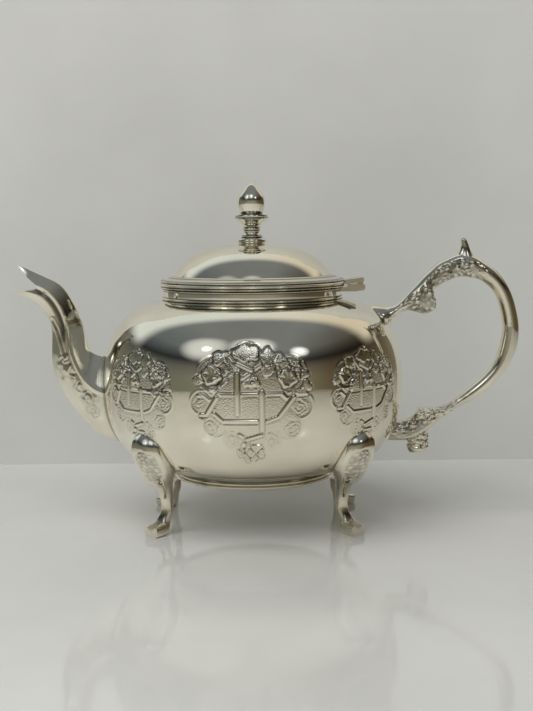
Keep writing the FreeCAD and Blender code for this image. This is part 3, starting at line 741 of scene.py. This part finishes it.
def make_bud():
    """An acorn on a short neck, drilled for its stud."""
    drill_z = BUD_Z + BUD_DRILL
    side = smooth([(r, BUD_Z + z) for r, z in BUD_SIDE] + [(2.0, BUD_TIP_Z - 1.1), (0, BUD_TIP_Z)], 40)
    return turned("bud", [(0, drill_z), (STUD_HOLE, drill_z), (STUD_HOLE, BUD_Z)], side, columns=96,
                  closed=False)


def make_base_ring():
    """A bead, a thin bead and a cove that flares out under the bowl, with painted shade in its grooves, on
    the cove under the bowl and along its bottom edge.
    """
    inner, neck, low = BASE_PLATE_RADIUS, BASE_RING_RADIUS - 0.9, BASE_RING_Z
    top = UNDERSIDE_Z + SEAT
    first, second = (low + bead_top for bead_top in RING_BEADS)
    runs = [[(inner, low), (neck - 0.3, low)],
            bead(neck, low + 0.05, first, 0.85),
            bead(neck - 0.3, first + 0.2, second, 0.35),
            swell((neck - 0.6, second + 0.2), (neck + 0.9, UNDERSIDE_Z), -0.9),
            [(neck + 0.9, top), (inner, top)]]
    grid = turned_grid(np.vstack(runs), 192)
    z = grid[..., 2]
    # painted shade between the beads, on the cove under the bowl and along the bottom edge
    dark = np.maximum(bump(z - first - 0.1, 0.2), rise((z - second) / 0.4))
    dark = dark + 0.8 * rise((low + 0.4 - z) / 0.4)
    return grid_mesh("ring", grid, True, {"painted_shade": RING_DARK * dark}, TURNED_SHARP)


def make_base_plate():
    """A dished sheet with a flat edge."""
    flat = BOWL_HOLE_RADIUS - BOWL_WALL
    r = np.linspace(flat, 0, 16)
    dish = PLATE_CROWN * (1 - (r / flat) ** 2)
    top = np.column_stack([r, BOWL_FLOOR_Z + dish])
    bottom = np.column_stack([r, BOWL_FLOOR_Z - SHEET + dish])[::-1]
    edge = [(BASE_PLATE_RADIUS, BOWL_FLOOR_Z - SHEET), (BASE_PLATE_RADIUS, BOWL_FLOOR_Z)]
    return turned("plate", bottom, edge, top, closed=False)


piece("turned_collar", make_collar(), "pot", ["collar"], "turned_silver")
piece("moulded_lid_rim", make_lid_rim(), "lid", ["lid_rim"], "turned_silver")
piece("spun_dome", make_dome(), "lid", ["lid_dome"], "polished_silver")
piece("finial_spool", make_pedestal(), "lid", ["finial_pedestal"], "turned_silver")
piece("finial_acorn", make_bud(), "lid", ["finial_bud"], "turned_silver")
piece("moulded_base_ring", make_base_ring(), "pot", ["base_ring"], "turned_silver")
piece("dished_base_plate", make_base_plate(), "pot", ["base_plate"], "underside_silver")


# Spout. A station is (back x, z, belly x, z, half width).
SPOUT_STATIONS = [
    (-57.3, 85, -57.3, 41, 12),
    (-75.8, 84.8, -75.3, 43.2, 12),
    (-82.6, 88.2, -86, 52.3, 11),
    (-84.1, 92.2, -94.5, 63, 9.8),
    (-84.6, 95.5, -101, 78, 8.8),
    (-85.4, 99.5, -101.9, 89, 8),
    (-87.3, 104.8, -101.7, 99, 7.3),
    (-91, 113.4, -104.4, 107, 6.8),
    (-97.4, 122, -109.5, 112.6, 6.5),
    (-106.8, 126.6, -115, 115, 5.2),
    (-117.5, 131.4, -119.5, 117.6, 1.6),
]
SPOUT_RIDGE = 0.4  # how far from the back to the belly the side ridge runs
SPOUT_RELIEF = 0.7  # strength of the ornament below the ridge
SPOUT_GROOVE_Z = (92, 100)  # a groove with painted shade under the ridge starts between these heights and runs up
SPOUT_GROOVE = 0.9
SPOUT_FLANGE = 0.55  # a raised line round the spout's root
SPOUT_WALL = 1.5
SPOUT_BORE_STATIONS = 10
SPOUT_MOUTH = [  # x, z round what is cut out between the halves of the beak
    (-107.5, 121), (-109.1, 118.9), (-125.3, 118.2), (-125.3, 137), (-116.5, 129.6), (-112.9, 125.4),
]
SPOUT_MOUTH_Y = (-12.0, 12.0)
SPOUT_KNOBS = [  # x, z, radius, height; below 0 for a hollow
    (-92.6, 85.5, 1.5, 0.7), (-90.2, 81, 2.3, 1), (-93.8, 78.5, 1.8, 0.7), (-95.9, 75.5, 1.2, -0.7),
    (-87.9, 74.9, 2, 0.8), (-87, 71.3, 1.7, 0.8), (-85.7, 65.8, 1.3, -0.7), (-82.2, 65.2, 1.9, 0.7),
    (-79.1, 65.7, 1.5, 0.6), (-81.3, 59.6, 1.6, 0.5), (-96.8, 81.1, 1.4, 0.5), (-90.6, 77.2, 1.1, -0.6),
    (-84.4, 69.4, 1.3, -0.6), (-103.6, 117.6, 1.5, 1.2),
]
SPOUT_CURLS = [  # x, z, radius, hand
    (-94, 84, 3.6, 1), (-89.8, 78.4, 4.4, -1), (-86.4, 71.2, 4.4, 1), (-82.6, 64.8, 4.2, -1),
    (-79.6, 58, 3.6, 1),
]
CURL_PITCH = 2.0
CURL_RISE = 0.3
SPOUT_LEAF = [(-100.4, 104), (-97.6, 99), (-95.3, 91.4), (-93.9, 86.3)]  # x, z along its vein
ROOT_DARK = 0.7  # strength of the painted shade along the line where a casting meets the bowl


def spout_section(sides):
    """A neck that is narrow at its back, widest at a side ridge, and round at its belly."""
    half = np.linspace(0, 1, sides // 2 + 1)
    depth = np.sin(half * math.pi / 2) ** 2
    back = (depth / SPOUT_RIDGE) ** 0.8
    belly = np.sqrt(np.maximum(1 - np.abs((depth - SPOUT_RIDGE) / (1 - SPOUT_RIDGE)) ** 2.2, 0))
    breadth = np.where(depth < SPOUT_RIDGE, back, belly)
    breadth = breadth + 0.08 * bump(depth - SPOUT_RIDGE, 0.022)
    return np.concatenate([depth, depth[-2:0:-1]]), np.concatenate([-breadth, breadth[-2:0:-1]])


def spout_relief(x, z, depth):
    """Height of the knobs, curls and leaf on the spout's sides and of the groove up its neck, and painted
    shade in their hollows.
    """
    height = np.zeros(x.shape)
    painted_shade = np.zeros(x.shape)
    for knob_x, knob_z, radius, knob_height in SPOUT_KNOBS:
        reach = np.hypot(x - knob_x, z - knob_z)
        knob = bump(reach, radius)
        height += SPOUT_RELIEF * knob_height * knob
        # painted shade in sunk knobs and in a ring round the foot of each raised one
        hollow = 0.4 * knob if knob_height < 0 else 0.25 * bump(reach - 1.5 * radius, 0.5 * radius)
        painted_shade = np.maximum(painted_shade, hollow)
    for curl in curls(*hand_drawn(x, z), SPOUT_CURLS, CURL_PITCH):
        height += SPOUT_RELIEF * CURL_RISE * curl
        painted_shade = np.maximum(painted_shade, -0.45 * curl)
    vein = distance_to(SPOUT_LEAF, x, z)
    height += SPOUT_RELIEF * (0.4 * bump(vein - 1.1, 0.6) - 0.45 * bump(vein, 0.55))
    painted_shade = np.maximum(painted_shade, 0.25 * bump(vein, 0.5))
    groove = climb(z, SPOUT_GROOVE_Z) * bump(depth - SPOUT_RIDGE - 0.15, 0.1)[None, :]
    height -= SPOUT_GROOVE * groove
    painted_shade = np.maximum(painted_shade, SPOUT_GROOVE * groove)
    ornate = rise((depth - SPOUT_RIDGE - 0.04) / 0.1)[None, :]
    return height * ornate, painted_shade * ornate


def spout_bore():
    """What is hollow in the spout: its own stations drawn in by its wall."""
    table = np.array(SPOUT_STATIONS[:SPOUT_BORE_STATIONS], float)
    run = table[:, 2:4] - table[:, 0:2]
    inward = run / np.linalg.norm(run, axis=1, keepdims=True) * 1.6 * SPOUT_WALL
    table[:, 0:2] += inward
    table[:, 2:4] -= inward
    table[:, 4] -= 1.2 * SPOUT_WALL
    return grid_mesh("bore", cast_grid(table, 2.0, spout_section(48)))


def make_spout():
    depth, breadth = spout_section(160)
    grid = cast_grid(SPOUT_STATIONS, 0.6, (depth, breadth))
    height, painted_shade = spout_relief(grid[..., 0], grid[..., 2], depth)
    root = off_bowl(grid)
    grid += outward(grid) * (height + SPOUT_FLANGE * bump(root - 1.4, 0.8))[..., None]
    # painted shade along the spout's root
    painted_shade = np.maximum(painted_shade, ROOT_DARK * bump(root, 0.7))
    outside = grid_mesh("spout", grid, masks={"painted_shade": painted_shade})
    mouth = prism("mouth", SPOUT_MOUTH, 1, SPOUT_MOUTH_Y)
    return combine(outside, "DIFFERENCE", spout_bore(), mouth, bowl_tool())


piece("cast_spout", make_spout(), "pot", ["spout"], "cast_silver", 38)


# Handle. A station is (outer x, z, inner x, z, half width, ornament from 0 plain to 1 knobbed).
HANDLE_STATIONS = [
    (50, 100, 60, 88, 7.5, 0),
    (59.7, 109.3, 69.3, 98.6, 7.5, 0.3),
    (66.5, 108.9, 71.3, 101.2, 5.5, 0.3),
    (72.4, 109.7, 74.3, 104.8, 3.9, 0.2),
    (77.5, 114.8, 79.5, 106.3, 4.6, 0.8),
    (82, 119.5, 86.5, 104.7, 5.6, 1),
    (86.2, 124.3, 92.6, 108.2, 6.3, 1),
    (89.5, 127.4, 90.2, 114.2, 6, 1),
    (93, 130.2, 92.7, 118, 5.7, 1),
    (98, 132.6, 98, 120.9, 5.4, 1),
    (104.5, 134.7, 104.6, 122.9, 5.2, 1),
    (111.2, 133.6, 109.8, 122.5, 5, 0.8),
    (116.8, 130.3, 113.7, 121.6, 4.7, 0.35),
    (122.7, 125.9, 118.5, 118.5, 4.4, 0),
    (129.5, 116.5, 122.7, 113, 4.3, 0),
    (133.4, 104, 125.6, 103, 4.2, 0),
    (134.4, 96, 125.9, 96, 4.2, 0),
    (133, 86, 124.2, 86.5, 4.2, 0),
    (128, 75.9, 120.3, 77.5, 4.1, 0),
    (118.7, 65.5, 112.5, 69.5, 4, 0),
    (109, 59.3, 105, 63.5, 3.8, 0.1),
    (101.5, 55.8, 99, 59.3, 3.8, 0.6),
    (96.5, 52.4, 92.5, 57, 4.6, 1),
    (88, 45, 85, 56.6, 5.6, 1),
    (79.5, 40.5, 79.5, 52.2, 6.2, 1),
    (71.5, 40.2, 72, 50.5, 6.5, 0.8),
    (60, 40, 60, 50, 6.5, 0),
]
HANDLE_SPIKE = [  # left x, z, right x, z, half width of the spike on its top
    (101.5, 133, 112.5, 132, 3.8),
    (103.8, 136, 110, 135.7, 2.6),
    (104.8, 138.6, 109, 138.4, 2),
    (104.9, 140.6, 108.2, 140.4, 1.7),
    (104.9, 141.8, 107.4, 142, 1.3),
    (105.6, 142.7, 106.4, 142.8, 0.5),
]
HANDLE_LEAF = [  # lower x, z, upper x, z, half width of a leaf with blunt ends that the bar grows out of
    (100.6, 54.2, 100.8, 58.6, 3.6),
    (96.5, 52.3, 97, 57.8, 4.4),
    (91, 50, 91.5, 57.1, 5.2),
    (86, 47.5, 86.5, 56.9, 5.6),
    (83.2, 47, 83.6, 56.7, 5.6),
]
HANDLE_STUB = [  # the same as for the spike, for the stub under the bracket
    (77.8, 48.5, 88.9, 49.5, 5),
    (77.5, 43, 88.9, 44, 5.2),
    (77.4, 38.5, 88.9, 38.5, 5.4),
    (77.6, 36.6, 88.6, 36.4, 5.4),
    (78.7, 34.4, 86.9, 34.5, 4.6),
]
KNOB_SIZE = 2.8
KNOB_RISE = 0.9
STUB_KNOB_SIZE = 2.1
STUB_KNOB_RISE = 0.8
LEAF_KNOB_RISE = 0.6
STUB_RING_Z = 36.6  # a plain ring runs round the stub's end below this height
BAR_POWER = 1.12  # section power of the plain bar
KNOBBED_POWER = 0.9  # and of the knobbed parts
# strength of the painted shade between the knobs
HANDLE_DARK = 0.75


def knobbed(grid, size):
    """1 on the knobs of a casting and 0 in the grooves between them, alike on both sides."""
    flat = np.abs(grid.reshape(-1, 3)) / size
    gaps = np.empty(len(flat))
    for k, point in enumerate(flat):
        nearest, second = noise.voronoi(Vector(point))[0][:2]
        gaps[k] = second - nearest
    return rise(gaps / 0.55).reshape(grid.shape[:2])


def make_bar():
    """The handle's bar, knobbed on its sides where its stations say so, with painted shade between the knobs.
    """
    rows = station_rows(HANDLE_STATIONS, 0.75)
    ornament = np.clip(rows[:, 5:6], 0, 1)
    depth, breadth = oval(BAR_POWER - (BAR_POWER - KNOBBED_POWER) * ornament, 72)
    grid = ring_grid(rows, depth, breadth)
    knobs = knobbed(grid, KNOB_SIZE)
    side = rise((depth - 0.16) / 0.12) * rise((1.02 - depth) / 0.12) * ornament
    grid += outward(grid) * (KNOB_RISE * (knobs - 0.5) * side)[..., None]
    return grid_mesh("bar", grid, masks={"painted_shade": HANDLE_DARK * side * (0.85 - knobs)})


def knobbed_part(name, stations, section, height, plain_z=0):
    """A small casting that is knobbed above some height, with painted shade between the knobs."""
    grid = cast_grid(stations, 0.5, section)
    knobs = knobbed(grid, STUB_KNOB_SIZE)
    above = rise((grid[..., 2] - plain_z) / 0.6)
    grid = grid + outward(grid) * (height * (knobs - 1) * above)[..., None]
    return grid_mesh(name, grid, masks={"painted_shade": HANDLE_DARK * above * (0.85 - knobs)})


def make_handle():
    """The bar with its spike, and the stub and leaf of its lower bracket."""
    spike = grid_mesh("spike", cast_grid(HANDLE_SPIKE, 0.5, oval(1.0, 28)))
    stub = knobbed_part("stub", HANDLE_STUB, oval(0.8, 84), STUB_KNOB_RISE, STUB_RING_Z)
    leaf = knobbed_part("leaf", HANDLE_LEAF, oval(0.55, 72), LEAF_KNOB_RISE)
    return combine(combine(make_bar(), "UNION", spike, stub, leaf), "DIFFERENCE", bowl_tool())


piece("cast_handle", make_handle(), "pot", ["handle"], "cast_silver", 45)


# Legs. A station is (outer reach, z, inner reach, z, half width, section power), in the leg's own plane.
LEG_TURN = 66.0  # degrees from the line through spout and handle to that plane
LEG_OFFSET = 26.0  # the plane passes the bowl's axis at this distance
LEG_STATIONS = [
    (66.5, 54.6, 60, 51, 5, 1),
    (70.5, 50, 59, 46, 7.6, 1),
    (71, 43.5, 56, 40, 8.6, 0.95),
    (66.5, 36, 52.5, 34.5, 8, 0.9),
    (59.5, 29.5, 48, 29.5, 5.7, 0.85),
    (51.5, 23.5, 44, 24.5, 3.7, 0.8),
    (46.5, 18, 40.8, 18.5, 3, 0.75),
    (45.6, 12.5, 40.6, 12, 2.9, 0.75),
    (46.8, 8.4, 41.7, 6.2, 3.2, 0.65),
    (48.8, 6.2, 43.2, 1.6, 3.7, 0.55),
    (51.2, 5.3, 46.5, 0, 4, 0.48),
    (53.7, 4.8, 53.5, 0, 4.2, 0.4),
]
TOE_HEEL = 37.7  # the toe turns outwards about this reach
TOE_TURN = 15.0
TOE_TOP_Z = 12.0
KNEE_CAP = 8.0  # distances down the leg from its top: a smooth cap, then the leaf
KNEE_END = 29.0
KNEE_SAG = 3.0  # the leaf's end hangs lower in its middle by this
KNEE_STEP = 0.6  # the leaf on the knee ends in a step this high
KNEE_HALF = 8.6  # half the knee's width
LEAF_RIM_PLACE = 0.76  # share of the half width where the leaf's raised edge runs
LEAF_RIM_RISE = 0.6
LEG_KNOB_SIZE = 3.0
LEG_KNOB_RISE = 0.4
LEG_KNOB_SINK = 0.3
# strength of the painted shade in the leg's hollows
LEG_DARK = 0.8
SPINE_PLACE = 0.1  # a row of beads runs down here to this far from the leg's top
SPINE_END = 33.0
SPINE_RISE = 0.35
SPINE_PITCH = 1.6 * BEAD_PITCH
ROSETTE_DOWN = 12.0  # a small flower on the knee, this far down it and this share to one side
ROSETTE_PLACE = -0.12
ROSETTE_RADIUS = 3.2
ROSETTE_PETALS = 5
ROSETTE_RISE = 0.9
ROSETTE_SINK = 0.4
TOE_DOWN = 48.0  # from here the toe's hollow top gets painted shade, between its bright edges
TOE_SHADE = 0.55
LEG_SWAY = [  # height, how far the leg bends outwards there
    (0, 1.3), (12, 1.6), (18, 1.6), (25, 0), (34.7, -3), (39.3, -2.6), (46.6, -1.7), (56, -0.8),
]


def rosette(down, breadth):
    """Petals of the small flower on a leg's knee, and the round field they lie in."""
    along, aside = down - ROSETTE_DOWN, (breadth - ROSETTE_PLACE) * KNEE_HALF
    share = np.hypot(along, aside) / ROSETTE_RADIUS
    waves = 0.6 + 0.4 * np.cos(ROSETTE_PETALS * np.arctan2(aside, along))
    return np.maximum(bump(share - 0.62, 0.24) * waves, bump(share, 0.26)), rise((1 - share) / 0.2)


def leg_relief(grid, down, breadth, depth):
    """Height of the leaf on a leg's knee, a raised edge round a flower and a knobbed field, and painted shade
    in its hollows, under the leaf's end and on the toe's top.
    """
    across = np.abs(breadth)
    front = rise((0.5 - depth) / 0.12)
    end = KNEE_END + KNEE_SAG * (1 - across ** 2)
    leaf = front * rise((end - down) / 1.2)
    edge = leaf * bump(across - LEAF_RIM_PLACE, 0.13) * rise((down - 1) / 4)
    petals, flower = rosette(down, breadth)
    below_cap = rise((down - KNEE_CAP) / 6) * rise((end - 2 - down) / 3)
    field = leaf * rise((0.68 - across) / 0.14) * below_cap * (1 - flower)
    flower = front * flower
    knobs = knobbed(grid, LEG_KNOB_SIZE)
    spine = front * bump(breadth - SPINE_PLACE, 0.2) * rise((down - KNEE_CAP) / 3) * (1 - flower)
    spine = spine * rise((SPINE_END - down) / 6)
    beads = 0.5 + 0.5 * np.cos(down * 2 * math.pi / SPINE_PITCH)
    height = (KNEE_STEP * leaf + LEAF_RIM_RISE * edge + field * (LEG_KNOB_RISE * knobs - LEG_KNOB_SINK)
              + SPINE_RISE * spine * beads + flower * (ROSETTE_RISE * petals - ROSETTE_SINK))
    hollows = np.maximum(field * np.clip(0.55 - knobs, 0, 1), 0.6 * spine * (1 - beads))
    hollows = np.maximum(hollows, flower * np.clip(0.9 - petals, 0, 1))
    # painted shade under the step at the leaf's end
    hollows = np.maximum(hollows, 0.7 * front * bump(down - end, 0.6))
    # painted shade on the toe's hollow top
    toe = TOE_SHADE * front * rise((down - TOE_DOWN) / 4) * rise((0.7 - across) / 0.2)
    return height, np.maximum(LEG_DARK * hollows, toe)


def turn_toe(grid):
    """The foot of a leg turned outwards."""
    turn = -math.radians(TOE_TURN) * rise(2 * (TOE_TOP_Z - grid[..., 2]) / TOE_TOP_Z)
    reach, across = grid[..., 0] - TOE_HEEL, grid[..., 1].copy()
    grid[..., 0] = TOE_HEEL + reach * np.cos(turn) - across * np.sin(turn)
    grid[..., 1] = reach * np.sin(turn) + across * np.cos(turn)


def leg_grid():
    """The back right leg, and its painted shade in the hollows and along its root."""
    rows = station_rows(LEG_STATIONS, 0.5)
    depth, breadth = oval(rows[:, 5:6], 96)
    grid = ring_grid(rows, depth, breadth)
    grid[..., 2] = np.maximum(grid[..., 2], 0)
    down = cumulative(middle_line(rows))[:, None]
    height, painted_shade = leg_relief(grid, down, breadth, depth)
    grid += outward(grid) * height[..., None]
    turn_toe(grid)
    sway_z, sway = np.array(LEG_SWAY).T
    grid[..., 1] -= np.interp(grid[..., 2], sway_z, sway)
    turn = math.radians(LEG_TURN)
    reach, across = grid[..., 0].copy(), grid[..., 1] - LEG_OFFSET
    grid[..., 0] = reach * math.cos(turn) - across * math.sin(turn)
    grid[..., 1] = reach * math.sin(turn) + across * math.cos(turn)
    return grid, np.maximum(painted_shade, ROOT_DARK * bump(off_bowl(grid), 0.7))


def make_legs():
    grid, painted_shade = leg_grid()
    places = {"front_left": (-1, -1), "front_right": (1, -1), "back_left": (-1, 1), "back_right": (1, 1)}
    for place, (side_x, side_y) in places.items():
        mesh = grid_mesh("leg", grid * (side_x, side_y, 1), masks={"painted_shade": painted_shade})
        seated = combine(mesh, "DIFFERENCE", bowl_tool())
        piece("cast_leg_" + place, seated, "pot", ["leg_" + place], "cast_silver", 45)


make_legs()


# Studio: a pale polished table, a pale wall close behind, soft lamps and a room that is dim in front
FLOOR_HALF = 1000
TABLE_STONE = ((0.66, 0.66, 0.635, 1), (0.59, 0.59, 0.565, 1), 0.06)  # two colours, roughness
WALL_Y = 151
WALL_HALF = 205
WALL_HEIGHT = 340
WALL_STONE = ((0.65, 0.655, 0.635, 1), (0.58, 0.585, 0.565, 1), 0.6)
STONE_SCALE = 9.0


def sheet(name, corners, material):
    """A flat sheet of the studio."""
    mesh = bpy.data.meshes.new(name)
    mesh.from_pydata([Vector(corner) * MM for corner in corners], [], [(0, 1, 2, 3)])
    mesh.materials.append(material)
    placed(name, mesh)


def stone(name, pale, dark, roughness):
    """Pale stone with soft clouds."""
    material, tree, shader, place = new_material(name)
    shader.inputs["Roughness"].default_value = roughness
    tint = blend(tree, cloudy(tree, place, STONE_SCALE, 6.0), pale, dark)
    tree.links.new(tint, shader.inputs["Base Color"])
    return material


def see_through_behind(material):
    """Show only the front of a surface, so that it hides nothing from views behind it."""
    tree = material.node_tree
    behind = add(tree, "NewGeometry", "Backfacing")
    clear = add(tree, "BsdfTransparent", "BSDF")
    front = tree.nodes["Principled BSDF"].outputs["BSDF"]
    mixed = add(tree, "MixShader", "Shader", {0: behind, 1: front, 2: clear})
    tree.links.new(mixed, tree.nodes["Material Output"].inputs["Surface"])
    return material


# Directions in the room are (turn from the camera's side towards the handle, elevation) in degrees
LAMPS = [(-35, 55, 21.0), (25, 14, 3.0)]  # direction, power
LAMP_DISTANCE = 1.6  # metres
LAMP_SIZE = 1.6
LAMP_COLOUR = (1.0, 0.985, 0.96)
ROOM_COLOURS = [  # height of a direction, colour there
    (0.0, (0.26, 0.245, 0.19, 1)),
    (0.12, (0.25, 0.235, 0.18, 1)),
    (0.28, (0.17, 0.16, 0.135, 1)),
    (0.40, (0.035, 0.035, 0.037, 1)),
    (0.62, (0.18, 0.195, 0.205, 1)),
]
SIDE_TINTS = [  # side in x, where its tint starts and is full, tint
    (-1, 0.3, 0.9, (0.60, 0.66, 0.70, 1)),
    (1, 0.3, 1.0, (0.35, 0.28, 0.20, 1)),
]
ABOVE_WALL_Y = (0.17, 0.45)  # directions that look above the wall see pale plaster
ABOVE_WALL_Z = (0.3, 0.5)
PLASTER_X = (-0.3, 0.6)  # it turns from its left to its right colour between these
PLASTER_LEFT = (0.66, 0.71, 0.71, 1)
PLASTER_RIGHT = (0.64, 0.575, 0.47, 1)
PANEL_TINT = (0.96, 1.0, 1.03)
PANELS = [  # direction, half angles of its outside and inside, brightness
    (-45, 41, 20, 4, 0.68), (0, 47, 18, 3, 0.85), (41, 35, 8, 2, 1.0),
    (-42, 40, 4, 1, 3.0), (0, 49, 4, 1, 3.0), (41, 35, 3, 1, 3.0),
]
WHITE = (1, 1, 1, 1)


def towards(turn, elevation):
    """A direction as a vector."""
    side, up = math.radians(turn), math.radians(elevation)
    return Vector((math.sin(side) * math.cos(up), -math.cos(side) * math.cos(up), math.sin(up)))


def make_lamps():
    """Wide soft lamps that face the pot. The metal shows the room's panels instead of them."""
    for turn, elevation, power in LAMPS:
        lamp = bpy.data.lights.new("lamp", "AREA")
        lamp.shape = "DISK"
        lamp.size = LAMP_SIZE
        lamp.energy = power
        lamp.color = LAMP_COLOUR
        out = towards(turn, elevation)
        made = placed("lamp", lamp)
        made.location = out * LAMP_DISTANCE
        made.rotation_euler = out.to_track_quat("Z", "Y").to_euler()
        made.visible_glossy = False


def make_room():
    """A room that is pale above the wall and dim elsewhere, with soft panels and a bright spot on each."""
    world = bpy.data.worlds.new("room")
    world.use_nodes = True
    tree = world.node_tree
    direction = add(tree, "TexCoord", "Generated")

    def facing(axis, low, high):
        along = add(tree, "VectorMath", "Value", {0: direction, 1: axis}, operation="DOT_PRODUCT")
        return add(tree, "MapRange", "Result", {"Value": along, "From Min": low, "From Max": high},
                   interpolation_type="SMOOTHSTEP")

    room = add(tree, "ValToRGB", "Color", {"Fac": add(tree, "SeparateXYZ", "Z", {"Vector": direction})})
    steps = room.node.color_ramp.elements
    while len(steps) < len(ROOM_COLOURS):
        steps.new(1.0)
    for step, (height, colour) in zip(steps, ROOM_COLOURS):
        step.position = height
        step.color = colour
    for side, low, high, tint in SIDE_TINTS:
        tinted = blend(tree, facing((side, 0, 0), low, high), WHITE, tint)
        room = blend(tree, 1.0, room, tinted, "MULTIPLY")
    above_wall = add(tree, "Math", "Value",
                     {0: facing((0, 1, 0), *ABOVE_WALL_Y), 1: facing((0, 0, 1), *ABOVE_WALL_Z)},
                     operation="MULTIPLY")
    plaster = blend(tree, facing((1, 0, 0), *PLASTER_X), PLASTER_LEFT, PLASTER_RIGHT)
    room = blend(tree, above_wall, room, plaster)
    for turn, elevation, outside, inside, light in PANELS:
        edges = [math.cos(math.radians(angle)) for angle in (outside, inside)]
        colour = [light * tint for tint in PANEL_TINT] + [1]
        room = blend(tree, facing(towards(turn, elevation), *edges), room, colour)
    tree.links.new(room, tree.nodes["Background"].inputs["Color"])
    bpy.context.scene.world = world


def make_studio():
    table = stone("table_stone", *TABLE_STONE)
    wall = see_through_behind(stone("wall_stone", *WALL_STONE))
    far = FLOOR_HALF
    sheet("table", [(-far, -far, 0), (far, -far, 0), (far, far, 0), (-far, far, 0)], table)
    sheet("wall", [(-WALL_HALF, WALL_Y, 0), (WALL_HALF, WALL_Y, 0), (WALL_HALF, WALL_Y, WALL_HEIGHT),
                   (-WALL_HALF, WALL_Y, WALL_HEIGHT)], wall)
    make_lamps()
    make_room()


CAMERA_PLACE = (6.7, -619.0, 151.0)
CAMERA_DOWN = 6.15  # degrees
CAMERA_ROLL = -0.65
CAMERA_LENS = 62.2  # millimetres, on a sensor this wide
SENSOR_WIDTH = 36.0


def make_camera():
    lens = bpy.data.cameras.new("camera")
    lens.sensor_width = SENSOR_WIDTH
    lens.lens = CAMERA_LENS
    camera = placed("camera", lens)
    stand = Matrix.Translation(Vector(CAMERA_PLACE) * MM)
    tilt = Matrix.Rotation(math.radians(90 - CAMERA_DOWN), 4, "X")
    roll = Matrix.Rotation(math.radians(CAMERA_ROLL), 4, "Z")
    camera.matrix_world = stand @ tilt @ roll
    bpy.context.scene.camera = camera


make_studio()
make_camera()
bpy.context.scene.view_settings.view_transform = "Standard"
